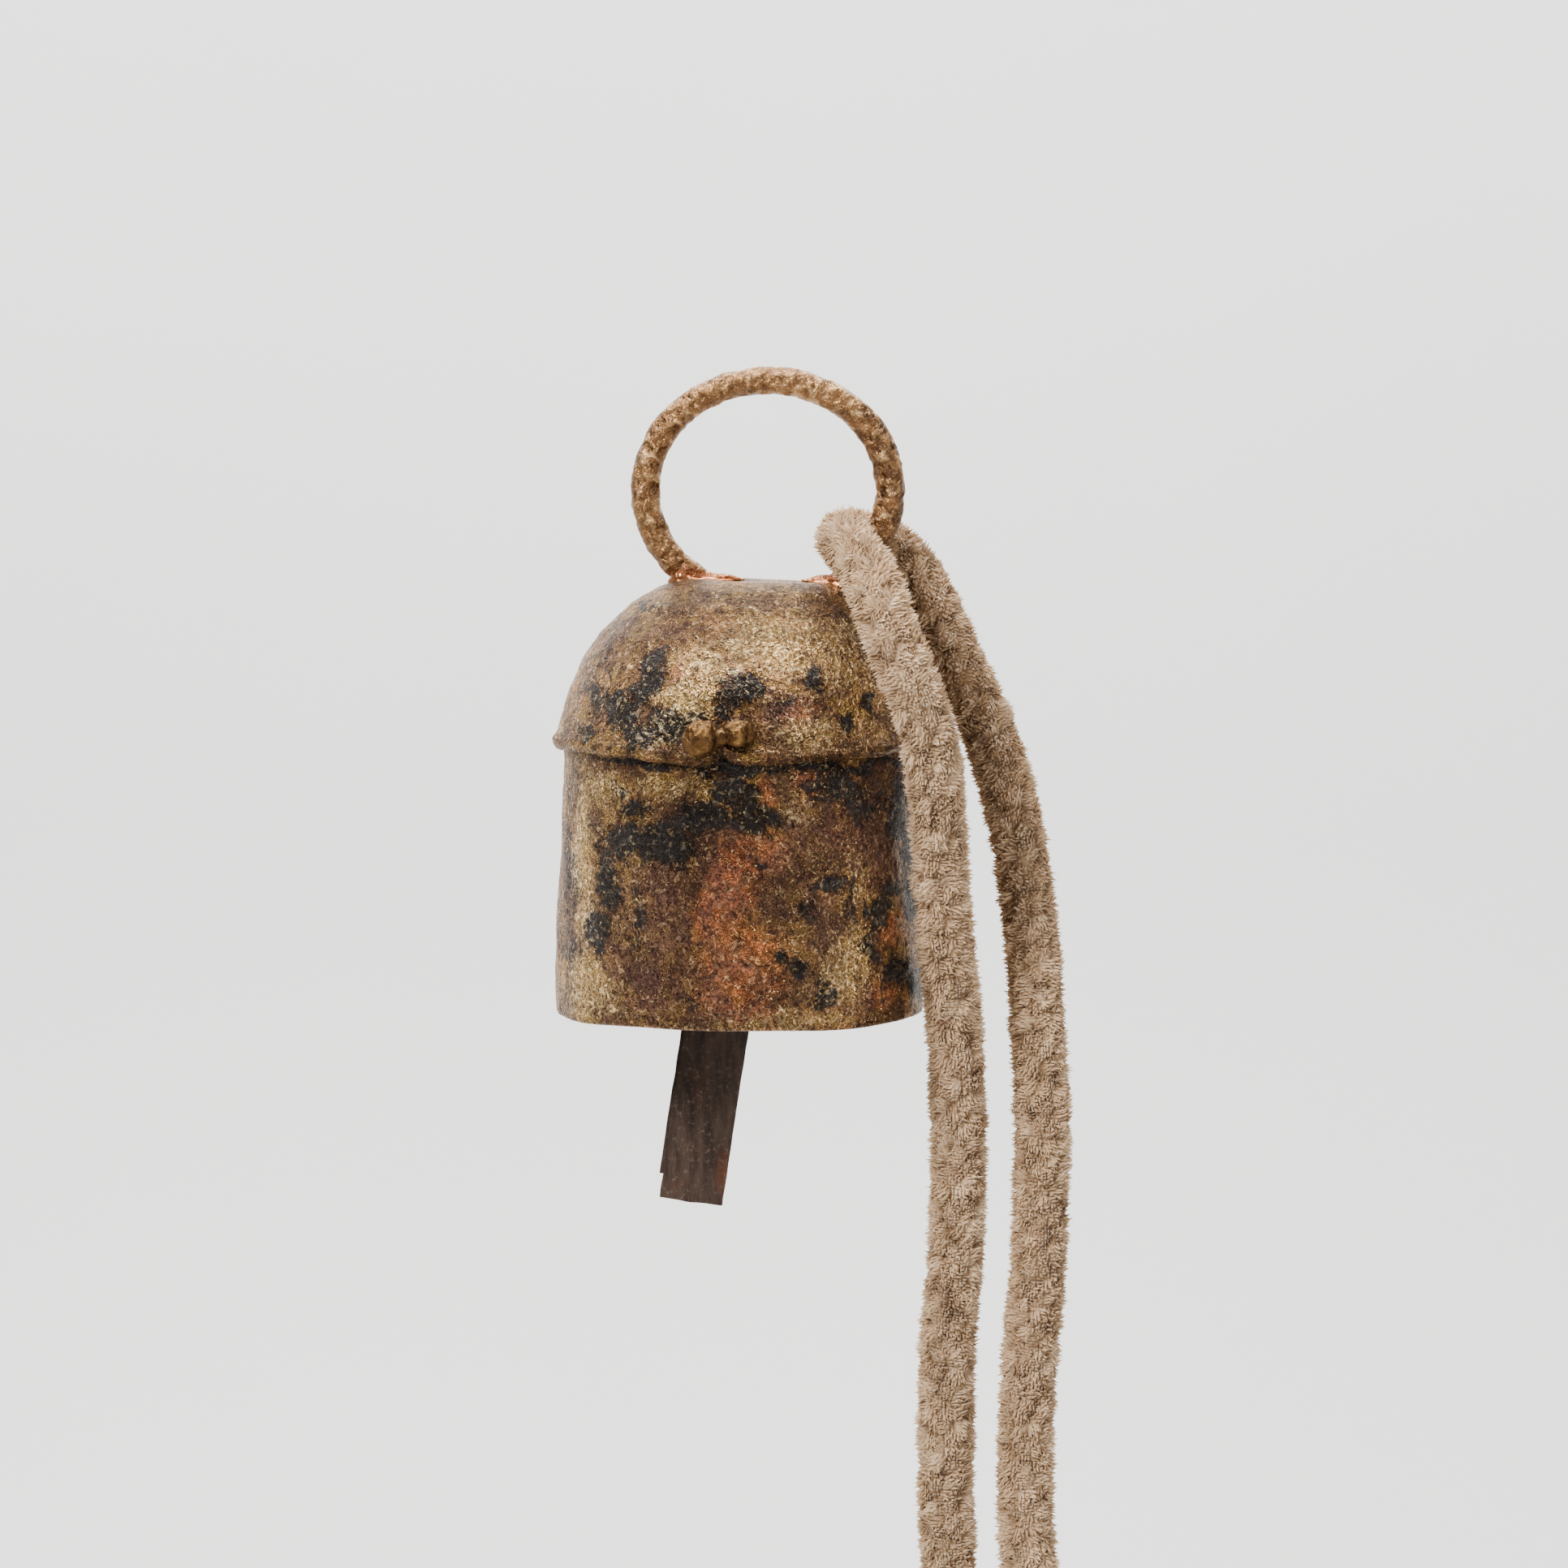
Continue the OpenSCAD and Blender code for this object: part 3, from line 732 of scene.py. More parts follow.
def strip_point(run_at, across_at, skin):
    """A point of the strip. run_at goes up the back leaf, round the eye and down the front leaf."""
    bend = math.pi * EYE_R
    front = run_at > bend / 2
    if abs(run_at) <= bend / 2:
        a = run_at / EYE_R
        y, drop = -(EYE_R + skin) * math.sin(a), -(EYE_R + skin) * math.cos(a)
        slip = 0.0
    else:
        drop = abs(run_at) - bend / 2
        pinch = EYE_R * math.exp(-((drop / 2.2) ** 2)) + 0.34
        bow = 0.35 * smooth_step(6, 20, drop) * (1 - (across_at * 1.6) ** 2)
        wave = 0.12 * noise.noise(Vector((0, 0, drop * 0.12)))
        y = (-(pinch + skin) - bow - wave) if front else (pinch + skin - bow - wave)
        slip = -0.25 * smooth_step(18, 46, drop) if front else -0.55 * smooth_step(10, 44, drop)
    return across_at, y, drop, slip


def clapper_mesh():
    """The strip as a grid of points on its two faces, joined along its edges."""
    bend = math.pi * EYE_R / 2
    start, end = -(LEAF_L - BACK_STEP + bend), LEAF_L + bend
    runs = np.linspace(start, end, 420)
    columns = 26
    verts, faces = [], []
    for skin in (-LEAF_T / 2, LEAF_T / 2):
        for run_at in runs:
            drop = max(0.0, abs(run_at) - bend)
            half = float(strip_width(drop))
            for j in range(columns):
                u = -1 + 2 * j / (columns - 1)
                edge = 0.07 * noise.noise(Vector((run_at * 0.5, 7.0 * (u > 0), 0.0))) * abs(u) ** 8
                x, y, deep, slip = strip_point(run_at, u / 2, skin * (1 - 0.25 * abs(u) ** 6))
                ragged = 0.10 * noise.noise(Vector((u * 2.0, 3.0, run_at * 0.05))) * (abs(run_at) > 44)
                place = eye + across * (2 * x * half + edge + slip) + down * (deep + ragged)
                place[1] += y + 0.03 * noise.noise(Vector((x * 3, run_at * 0.6, 9.0)))
                verts.append(place)
    rows = len(runs)
    n = rows * columns
    for i in range(rows - 1):
        for j in range(columns - 1):
            a = i * columns + j
            faces.append((a, a + 1, a + columns + 1, a + columns))
            faces.append((n + a, n + a + columns, n + a + columns + 1, n + a + 1))
        for j in (0, columns - 1):
            a = i * columns + j
            quad = (a, a + columns, n + a + columns, n + a)
            faces.append(quad if j == 0 else quad[::-1])
    for i in (0, rows - 1):
        for j in range(columns - 1):
            a = i * columns + j
            quad = (a, n + a, n + a + 1, a + 1)
            faces.append(quad if i == 0 else quad[::-1])
    return verts, faces


clapper = add_piece("clapper_strip", *clapper_mesh())
stand_for(clapper, "clapper", "clapper")
SHARP_FROM = 40
clapper.data.set_sharp_from_angle(angle=math.radians(SHARP_FROM))

# %% [markdown]
# Every finish is built from nodes, and measures its patterns in millimetres on the piece itself,
# so a grain is as fine on the ring as on the skirt. These short helpers keep the node trees
# readable: each one adds a node, sets its inputs and hands back what it puts out.


# %% Node helpers
def plug(tree, node, inputs):
    """Links each input that is given as a socket, and sets each one that is given as a value."""
    for key, value in inputs.items():
        if isinstance(value, bpy.types.NodeSocket):
            tree.links.new(value, node.inputs[key])
        else:
            node.inputs[key].default_value = value


def add(tree, kind, inputs=None, **settings):
    """A new shader node with its settings made and its inputs plugged."""
    made = tree.nodes.new("ShaderNode" + kind)
    for key, value in settings.items():
        setattr(made, key, value)
    plug(tree, made, inputs or {})
    return made


def calc(tree, operation, a, b=0.0, c=0.0):
    """One step of arithmetic."""
    return add(tree, "Math", {0: a, 1: b, 2: c}, operation=operation).outputs[0]


def times(tree, a, b):
    return calc(tree, "MULTIPLY", a, b)


def times_add(tree, a, b, c):
    """a times b, plus c."""
    return calc(tree, "MULTIPLY_ADD", a, b, c)


def blend(tree, factor, a, b):
    """Colour a where the factor is 0, colour b where it is 1."""
    return add(tree, "Mix", {0: factor, 6: a, 7: b}, data_type="RGBA").outputs[2]


def grain(tree, vector, scale, detail=4.0, rough=0.6, twist=0.0):
    """Noise from 0 to 1 with about scale grains to the millimetre."""
    made = add(tree, "TexNoise", {"Vector": vector, "Scale": scale, "Detail": detail, "Roughness": rough})
    made.inputs["Distortion"].default_value = twist
    return made.outputs["Fac"]


def step_up(tree, value, low, high, to_low=0.0, to_high=1.0):
    """A soft ramp that reaches to_low at low and to_high at high."""
    inputs = {"Value": value, "From Min": low, "From Max": high, "To Min": to_low, "To Max": to_high}
    return add(tree, "MapRange", inputs, interpolation_type="SMOOTHSTEP").outputs["Result"]


def rgb(red, green, blue):
    """A colour as it looks on a screen, 0 to 255, as the linear colour that the nodes need."""
    parts = [c / 255 for c in (red, green, blue)]
    return tuple([c / 12.92 if c <= 0.04045 else ((c + 0.055) / 1.055) ** 2.4 for c in parts] + [1.0])


def new_group(name, takes, gives):
    """An empty node group with named sockets. Returns the tree, its input node and its output node."""
    tree = bpy.data.node_groups.new(name, "ShaderNodeTree")
    for socket, kind, default in takes:
        made = tree.interface.new_socket(socket, in_out="INPUT", socket_type="NodeSocket" + kind)
        if default is not None:
            made.default_value = default
    for socket, kind in gives:
        tree.interface.new_socket(socket, in_out="OUTPUT", socket_type="NodeSocket" + kind)
    return tree, tree.nodes.new("NodeGroupInput"), tree.nodes.new("NodeGroupOutput")


def use_group(tree, group, inputs):
    """Places a group in a tree and hands back what it puts out."""
    made = tree.nodes.new("ShaderNodeGroup")
    made.node_tree = group
    plug(tree, made, inputs)
    return made.outputs


def new_material(name):
    """A material with an empty tree, its shader and its coordinates in millimetres."""
    material = bpy.data.materials.new(name)
    material.use_nodes = True
    tree = material.node_tree
    shader = tree.nodes["Principled BSDF"]
    coordinates = tree.nodes.new("ShaderNodeTexCoord").outputs["Object"]
    mm = add(tree, "VectorMath", {0: coordinates, "Scale": 1 / MM}, operation="SCALE").outputs[0]
    return material, tree, shader, mm


def set_bump(tree, shader, height, depth_mm):
    """Lifts the surface by a height of the depth given."""
    bump = add(tree, "Bump", {"Height": height, "Distance": depth_mm * MM, "Strength": 1.0})
    tree.links.new(bump.outputs[0], shader.inputs["Normal"])
    print("finish of", len(tree.nodes), "nodes, relief", depth_mm, "mm")


# %% [markdown]
# Metal filings melted on in a fire leave a crinkled skin: worm-like grains about half a
# millimetre across with creases between them that lie dark, and tallest grains that catch the
# light. One group makes that skin, and every metal piece but the clapper uses it. It gives a
# height, a mask for painted glints on the tallest grains, a mask for painted shade in the
# creases, and a slower tone for colour.

# %% Fired grain
FIRED_GRAIN, into, out = new_group(
    "fired_grain",
    [("Vector", "Vector", None), ("Grain per mm", "Float", 2.6)],
    [("Height", "Float"), ("Bright", "Float"), ("Crease", "Float"), ("Tone", "Float")],
)
g = FIRED_GRAIN
place, per_mm = into.outputs["Vector"], into.outputs["Grain per mm"]
crinkle = grain(g, place, per_mm, 2.0, 0.55, 0.9)
fine = grain(g, place, times(g, per_mm, 2.3), 2.0, 0.6, 0.5)
worm = calc(g, "ABSOLUTE", calc(g, "SUBTRACT", crinkle, 0.5))
worm = step_up(g, worm, 0.0, 0.10)
height = times_add(g, fine, 0.55, times(g, crinkle, 0.8))
height = times_add(g, worm, 0.30, height)
# Painted light: the tallest grains are the mask for painted glints, and the lowest are the mask for painted
# shade in the creases.
bright, crease = step_up(g, height, 0.97, 1.14), step_up(g, height, 0.86, 0.60)
tone = grain(g, place, 0.55, 5.0, 0.65)
plug(g, out, {"Height": height, "Bright": bright, "Crease": crease, "Tone": tone})
print("fired grain:", len(g.nodes), "nodes")

# %% [markdown]
# The fire leaves scorched, copper and purple places that belong to this one bell, and there are
# pale places, partly the coat's own colour and partly painted light where the lamp falls
# brightest. Each is an ellipse on the front, given by its middle, its half sizes and how far it is
# turned, and the back gets clouds of its own. They are stored on the mesh as soft fields from 0 to
# 1. The nodes then eat at their edges with noise as fine as the grain.


# %% Fields of fire
def front_field(verts, places, seed):
    """The strongest of the ellipses at each point. Each is x, z, half width, half height, turn, strength."""
    warp_x = 0.8 * noise_at(verts, 0.45, seed) + 0.35 * noise_at(verts, 1.3, seed + 1)
    warp_z = 0.8 * noise_at(verts, 0.45, seed + 2) + 0.35 * noise_at(verts, 1.3, seed + 3)
    field = np.zeros(len(verts))
    for x, z, half_w, half_h, turn, strength in places:
        dx, dz = verts[:, 0] - x + warp_x, verts[:, 2] - z + warp_z
        c, s = math.cos(math.radians(turn)), math.sin(math.radians(turn))
        away = np.hypot((dx * c + dz * s) / half_w, (dz * c - dx * s) / half_h)
        field = np.maximum(field, strength * (1 - smooth_step(0.45, 1.35, away)))
    return field * (1 - smooth_step(-3.0, 3.0, verts[:, 1]))


def store_fields(piece, seed, back, **fields):
    """Stores each named field on the piece. back gives the strength of its clouds behind."""
    verts = vectors_of(piece.data.vertices) / MM
    behind = smooth_step(-3.0, 3.0, verts[:, 1])
    for number, (name, places) in enumerate(fields.items()):
        own = seed + 10 * number
        cloud = noise_at(verts, 0.13, own) + 0.5 * noise_at(verts, 0.34, own + 5)
        values = front_field(verts, places, own)
        values = np.maximum(values, back[name] * behind * smooth_step(0.0, 0.42, cloud))
        piece.data.attributes.new(name, "FLOAT", "POINT").data.foreach_set("value", values)
        print(piece.name, name, "covers", round(float((values > 0.5).mean()), 3))


BACK = {"scorch": 0.9, "glow": 0.5, "purple": 0.9, "pale": 0.5}
# %% [markdown]
# The crown is sooty in a band to the left of the stitch and in a patch above it. It is palest
# round the stitch, partly in the coat's own colour and partly as painted light. Its back is left
# to the clouds.

# %% Fire on the crown
store_fields(
    crown, 300, BACK,
    scorch=[
        (-12.4, -26.6, 1.7, 2.2, 20, 1.0), (-9.9, -23.8, 1.3, 2.6, -25, 1.0),
        (-7.8, -27.6, 3.2, 1.3, 10, 0.9), (-10.6, -28.6, 2.6, 1.0, 0, 0.95),
        (-3.4, -26.6, 1.0, 0.8, 0, 0.8), (-1.6, -24.3, 2.0, 1.2, -5, 1.0),
        (-3.0, -25.6, 1.4, 0.7, 0, 0.8), (3.7, -23.9, 1.0, 1.1, 10, 1.0),
        (1.6, -25.6, 1.4, 1.0, 30, 0.6), (6.6, -27.4, 0.6, 0.9, 25, 0.95),
        (8.4, -25.8, 0.5, 0.9, 10, 0.9), (-10.2, -18.0, 1.0, 0.4, 10, 0.7),
        (-14.6, -25.6, 0.7, 1.6, 10, 0.75), (-13.6, -22.2, 0.5, 1.2, 10, 0.5),
        (-15.4, -28.4, 0.8, 0.9, 0, 0.7),
    ],
    glow=[
        (-7.4, -23.0, 0.8, 1.2, 10, 0.5), (2.6, -26.8, 1.6, 1.2, 20, 0.35),
    ],
    purple=[
        (-9.0, -20.8, 4.0, 1.6, 15, 0.4), (0.6, -26.4, 2.8, 1.6, 15, 0.7),
        (-12.5, -21.0, 2.4, 2.0, 40, 0.45),
    ],
    pale=[
        (-6.8, -25.8, 2.4, 2.0, 10, 1.0), (-8.0, -28.4, 3.4, 1.0, 5, 0.8),
        (-5.4, -22.6, 2.4, 1.6, 0, 0.8), (0.4, -20.8, 4.5, 2.6, 0, 0.7), (3.6, -28.4, 3.0, 1.4, 5, 0.7),
        (6.4, -22.0, 2.0, 3.5, 10, 0.4),
    ],
)

# %% [markdown]
# The skirt has more of everything: soot under the lip and down both sides, with a thin band right
# under the lip's edge that is painted shadow of the lip as well as soot, a glow of copper down the
# middle with purple round it, and a pale strip along the left edge that is partly the coat's own
# colour and partly painted light.

# %% Fire on the skirt
store_fields(
    skirt, 400, BACK,
    scorch=[
        (-10.8, -34.6, 1.4, 1.0, 5, 0.9), (-12.0, -37.4, 2.0, 1.6, 0, 1.0),
        (-8.6, -37.6, 3.4, 2.0, -5, 1.0), (-5.6, -35.2, 2.6, 1.6, 15, 1.0),
        (-3.0, -33.0, 2.2, 1.5, -10, 0.95), (-1.0, -35.2, 2.4, 1.4, -8, 1.0),
        (-13.6, -41.0, 1.1, 3.0, 0, 0.9), (-14.4, -45.4, 1.2, 2.0, 0, 0.9),
        (-12.0, -33.0, 1.2, 0.5, 0, 0.7), (-16.9, -40.0, 0.5, 6.0, 2, 0.55),
        (-17.0, -48.0, 0.5, 3.0, 0, 0.6), (-10.8, -43.6, 0.9, 3.4, 0, 0.55),
        (5.4, -33.0, 2.6, 1.3, -10, 0.85), (8.2, -34.4, 2.0, 1.8, 0, 0.7),
        (11.0, -35.6, 0.9, 3.2, -4, 1.0), (12.4, -38.4, 0.8, 2.4, 0, 1.0),
        (5.2, -41.0, 1.4, 1.0, 10, 0.9), (3.2, -43.4, 0.9, 1.0, 0, 0.7), (7.0, -42.4, 0.4, 2.8, 0, 0.8),
        (1.2, -46.6, 0.9, 0.55, -35, 0.95), (2.5, -47.9, 0.8, 1.3, 20, 0.95),
        (4.7, -50.4, 1.1, 1.1, 0, 0.85), (9.4, -43.6, 1.2, 2.0, -10, 1.0),
        (8.6, -46.6, 0.7, 1.6, 5, 0.9), (12.4, -43.2, 0.9, 2.0, 0, 0.95),
        (11.2, -49.0, 1.5, 1.4, -20, 1.0), (13.0, -50.4, 1.0, 1.8, 0, 1.0),
        (10.4, -41.6, 1.6, 0.6, 0, 0.9), (-6.6, -50.4, 0.8, 0.6, 20, 0.5),
        # The last four ellipses, a thin band just under the lip, are painted shadow of the lip as well as
        # soot.
        (-0.6, -39.6, 0.5, 0.8, 30, 0.5), (-3.0, -31.2, 5.0, 0.45, 0, 1.0),
        (5.5, -31.2, 5.0, 0.5, 0, 1.0), (-11.0, -30.9, 4.5, 0.4, 0, 0.9),
        (11.0, -30.9, 3.0, 0.4, 0, 0.9),
    ],
    glow=[
        (-3.6, -42.6, 2.4, 4.8, -8, 0.95), (-2.0, -47.2, 3.6, 3.6, 0, 0.85),
        (-0.4, -38.2, 2.8, 2.2, 25, 0.75), (-0.2, -33.2, 1.1, 1.4, 0, 0.7),
        (3.4, -32.6, 1.2, 1.4, 0, 0.5), (10.6, -45.4, 1.2, 1.4, 0, 0.7),
        (-2.4, -50.6, 3.4, 1.6, 0, 0.6), (9.8, -50.6, 1.4, 1.4, 0, 0.6),
    ],
    purple=[
        (-8.2, -43.0, 3.2, 5.0, 0, 0.9), (-9.4, -49.4, 2.4, 3.0, 0, 0.95),
        (2.6, -36.2, 2.4, 2.4, 10, 0.85), (6.6, -36.0, 3.4, 2.8, 0, 0.9),
        (-4.4, -39.8, 2.4, 1.2, 0, 0.8), (9.0, -38.4, 2.4, 3.4, 0, 0.7), (1.4, -41.4, 2.4, 3.4, 0, 0.6),
        (-5.6, -47.6, 1.8, 3.4, 0, 0.7), (5.0, -44.6, 2.4, 3.0, 0, 0.5),
        (-12.2, -46.0, 1.6, 5.0, 0, 0.6), (-6.0, -51.4, 6.0, 1.2, 0, 0.55),
        (-12.0, -31.8, 3.0, 1.0, 0, 0.4), (7.6, -51.0, 2.4, 1.4, 0, 0.6),
        (-5.4, -37.6, 5.0, 2.6, 0, 0.6), (9.6, -32.0, 3.0, 2.0, 0, 0.7),
    ],
    # Pale places: partly the coat's own colour and partly painted light, as on the left edge that the lamp
    # lights.
    pale=[
        (-15.6, -40.0, 0.9, 9.0, 2, 0.95), (-15.2, -50.0, 2.4, 2.6, 0, 0.8),
        (-13.6, -33.2, 2.6, 1.6, 0, 0.7), (-8.4, -32.8, 3.4, 0.9, 0, 0.6),
        (6.8, -48.2, 2.0, 3.6, 0, 0.8), (2.6, -34.4, 1.2, 1.8, 0, 0.7), (0.8, -52.2, 7.0, 0.8, 0, 0.35),
        (7.6, -40.6, 1.2, 2.4, 0, 0.4),
    ],
)

# %% [markdown]
# The patina is the same on crown and skirt, so it is one group. Brassy tones are mixed by slow
# noise, pink copper shows as speckles, scorch goes over them with a ragged edge, and a glow of
# bare copper shines through where it was hottest. Painted shade keeps the creases dark
# everywhere, painted glints sit on the tallest grains, and larger painted glints shine as flakes
# in the pale places. Scorch is soot, so it is less metallic, but painted glints still sit on its
# grains.

# %% Patina
PATINA, into, out = new_group(
    "fired_patina",
    [("Vector", "Vector", None), ("Scorch", "Float", 0.0), ("Glow", "Float", 0.0), ("Purple", "Float", 0.0),
     ("Pale", "Float", 0.0)],
    [("Colour", "Color"), ("Roughness", "Float"), ("Metal", "Float"), ("Height", "Float")],
)
g = PATINA
place = into.outputs["Vector"]
skin = use_group(g, FIRED_GRAIN, {"Vector": place, "Grain per mm": 2.2})
slow = grain(g, place, 0.25, 4.0, 0.6)
mottle = grain(g, place, 1.1, 5.0, 0.7)
speckle = grain(g, place, 3.1, 3.0, 0.7)
brass = blend(g, step_up(g, skin["Tone"], 0.38, 0.62), rgb(162, 132, 84), rgb(182, 140, 102))
brass = blend(g, step_up(g, slow, 0.44, 0.60), brass, rgb(124, 98, 76))
brass = blend(g, step_up(g, speckle, 0.54, 0.64, 0.0, 0.42), brass, rgb(198, 134, 98))
# The pale places are lighter gold: partly the coat's own colour and partly painted light where the lamp
# falls brightest.
brass = blend(g, times(g, into.outputs["Pale"], 0.6), brass, rgb(222, 188, 130))
shadow = calc(g, "SUBTRACT", 1.0, into.outputs["Pale"])
dirt = times(g, step_up(g, mottle, 0.46, 0.64, 0.0, 0.8), times_add(g, shadow, 0.65, 0.35))
brass = blend(g, dirt, brass, rgb(84, 64, 56))
glow = times(g, into.outputs["Glow"], step_up(g, mottle, 0.34, 0.66, 1.0, 0.35))
warm = blend(g, step_up(g, skin["Tone"], 0.35, 0.65), rgb(222, 142, 102), rgb(196, 132, 112))
purple = times(g, into.outputs["Purple"], step_up(g, skin["Tone"], 0.30, 0.6, 0.6, 1.0))
colour = blend(g, times(g, purple, 0.85), brass, rgb(110, 80, 76))
colour = blend(g, glow, colour, warm)
ragged = times_add(g, calc(g, "SUBTRACT", mottle, 0.5), 1.9, into.outputs["Scorch"])
ragged = times_add(g, calc(g, "SUBTRACT", speckle, 0.5), 2.4, ragged)
fringe = step_up(g, ragged, 0.08, 0.46, 0.0, 0.70)
colour = blend(g, fringe, colour, rgb(82, 58, 54))
soot = step_up(g, ragged, 0.40, 0.72)
soot_colour = blend(g, step_up(g, skin["Tone"], 0.4, 0.6), rgb(38, 36, 35), rgb(60, 60, 62))
colour = blend(g, times(g, soot, 0.93), colour, soot_colour)
# Painted shade: the creases are darkened everywhere.
crease = times(g, skin["Crease"], 0.78)
colour = blend(g, crease, colour, rgb(44, 32, 26))
# Painted glints: the tallest grains are painted near white, fewer on soot and purple, more in the pale
# places.
bright = times(g, skin["Bright"], step_up(g, soot, 0.0, 1.0, 0.52, 0.42))
glint_weight = times_add(g, into.outputs["Purple"], -0.55, 1.0)
glint_weight = calc(g, "ADD", into.outputs["Pale"], glint_weight)
glint_weight = times(g, glint_weight, step_up(g, mottle, 0.58, 0.42, 0.35, 1.1))
bright = times(g, bright, glint_weight)
colour = blend(g, bright, colour, rgb(248, 218, 168))
# Painted glints: larger near-white flakes in the pale places, a little smoother there too.
flake_glint = step_up(g, grain(g, place, 1.9, 2.0, 0.5, 1.2), 0.55, 0.61)
flake_glint = times(g, flake_glint, times_add(g, into.outputs["Pale"], 0.52, 0.04))
colour = blend(g, flake_glint, colour, rgb(255, 232, 184))
rough = times_add(g, skin["Crease"], 0.24, step_up(g, skin["Tone"], 0.3, 0.7, 0.20, 0.32))
rough = times_add(g, flake_glint, -0.06, rough)
metal = step_up(g, soot, 0.0, 1.0, 0.95, 0.70)
height = times_add(g, mottle, 1.5, skin["Height"])
plug(g, out, {"Colour": colour, "Roughness": rough, "Metal": metal, "Height": height})
print("patina:", len(g.nodes), "nodes")

# %% [markdown]
# The coat's own material is short. It reads the four stored fields, hands them to the patina and
# lifts the surface by the patina's height.

# %% Crown and skirt finish
coated_finish, tree, shader, mm = new_material("fired_coat")
fields = {"Vector": mm}
for name in ("scorch", "glow", "purple", "pale"):
    fields[name.capitalize()] = add(tree, "Attribute", attribute_name=name).outputs["Fac"]
look = use_group(tree, PATINA, fields)
plug(tree, shader, {"Base Color": look["Colour"], "Roughness": look["Roughness"], "Metallic": look["Metal"]})
set_bump(tree, shader, look["Height"], 0.50)

# %% [markdown]
# The fire hardly reached the inside, so it is bare iron gone brown: dull, with rust in blooms and
# specks of the brass that crept in.

# %% Inside of the bell
inner_iron, tree, shader, mm = new_material("inner_iron")
skin = use_group(tree, FIRED_GRAIN, {"Vector": mm, "Grain per mm": 1.7})
bloom = grain(tree, mm, 0.45, 5.0, 0.65)
colour = blend(tree, step_up(tree, bloom, 0.40, 0.62), rgb(52, 42, 37), rgb(104, 66, 44))
brass = step_up(tree, grain(tree, mm, 1.6, 4.0), 0.56, 0.68, 0.0, 0.7)
colour = blend(tree, brass, colour, rgb(134, 104, 70))
rough = step_up(tree, bloom, 0.3, 0.7, 0.52, 0.78)
plug(tree, shader, {"Base Color": colour, "Roughness": rough, "Metallic": 0.55})
set_bump(tree, shader, skin["Height"], 0.08)

# %% [markdown]
# The ring's wire is bronze-brown. The tops of its hammer marks are painted bright as highlights
# and the hollows painted dark as shade, the right limb is darker than the left with painted
# shade, and copper has run up from the feet.

# %% Ring, braze and inner wire finishes
def wire_finish(name, tones, rough=(0.26, 0.42), depth=0.07, glint=0.3, copper_below=None, shaded_right_limb=False):
    """A hammered wire's finish from its dark, middle and bright tones, with painted highlights and painted
    shade on its hammer marks.
    """
    material, tree, shader, mm = new_material(name)
    dark, middle, bright = tones
    skin = use_group(tree, FIRED_GRAIN, {"Vector": mm, "Grain per mm": 2.6})
    worn = grain(tree, mm, 0.9, 4.0, 0.6)
    bent = add(tree, "TexNoise", {"Vector": mm, "Scale": 1.3, "Detail": 2.0}).outputs["Color"]
    bent = add(tree, "VectorMath", {0: bent, 1: mm}, operation="ADD").outputs[0]
    marks = add(tree, "TexVoronoi", {"Vector": bent, "Scale": 1.05}, feature="SMOOTH_F1").outputs["Distance"]
    colour = blend(tree, step_up(tree, worn, 0.34, 0.58, 0.5, 1.0), dark, middle)
    colour = blend(tree, step_up(tree, skin["Tone"], 0.52, 0.68, 0.0, 0.5), colour, bright)
    split = add(tree, "SeparateXYZ", {0: mm})
    # Painted shade: the right limb is darkened towards +x.
    if shaded_right_limb:
        shade = step_up(tree, split.outputs["X"], 5.0, 10.0, 0.0, 0.6)
        shade = times(tree, shade, step_up(tree, worn, 0.62, 0.42))
        colour = blend(tree, shade, colour, dark)
    if copper_below is not None:
        low, high = copper_below
        run_up = times_add(tree, calc(tree, "SUBTRACT", worn, 0.5), 3.0, split.outputs["Z"])
        colour = blend(tree, step_up(tree, run_up, low, high, 0.85, 0.0), colour, rgb(224, 140, 106))
    # Painted highlights on the tops of the hammer marks and painted shade in their hollows, then painted
    # shade in the creases and painted glints on the grains.
    colour = blend(tree, step_up(tree, marks, 0.50, 0.72, 0.0, 0.65), colour, bright)
    colour = blend(tree, step_up(tree, marks, 0.28, 0.05, 0.0, 0.28), colour, dark)
    colour = blend(tree, times(tree, skin["Crease"], 0.30), colour, dark)
    colour = blend(tree, times(tree, skin["Bright"], glint), colour, bright)
    roughness = step_up(tree, worn, 0.3, 0.7, *rough)
    metal = step_up(tree, skin["Tone"], 0.3, 0.6, 0.7, 0.95)
    plug(tree, shader, {"Base Color": colour, "Roughness": roughness, "Metallic": metal})
    relief = times_add(tree, worn, 1.2, times(tree, skin["Height"], 0.45))
    relief = times_add(tree, marks, 2.6, relief)
    set_bump(tree, shader, relief, depth)
    return material


ring_finish = wire_finish(
    "bronze_wire", (rgb(90, 66, 50), rgb(154, 118, 84), rgb(224, 188, 144)), copper_below=(-17.2, -14.2),
    shaded_right_limb=True, depth=0.22,
)
braze_finish = wire_finish(
    "copper_braze", (rgb(128, 82, 56), rgb(196, 134, 96), rgb(244, 202, 166)), rough=(0.20, 0.36), depth=0.06
)
stitch_finish = wire_finish(
    "stitch_brass", (rgb(66, 48, 34), rgb(112, 84, 54), rgb(172, 136, 88)), rough=(0.32, 0.46), depth=0.14,
    glint=0.15
)
inner_wire_finish = wire_finish(
    "dull_wire", (rgb(50, 38, 32), rgb(98, 70, 50), rgb(150, 112, 80)), rough=(0.42, 0.62), depth=0.05
)

# %% [markdown]
# The clapper was never coated. Its mill scale is dark brown, streaked along the strip, scuffed
# grey in patches, and rusty at its lower right edge.

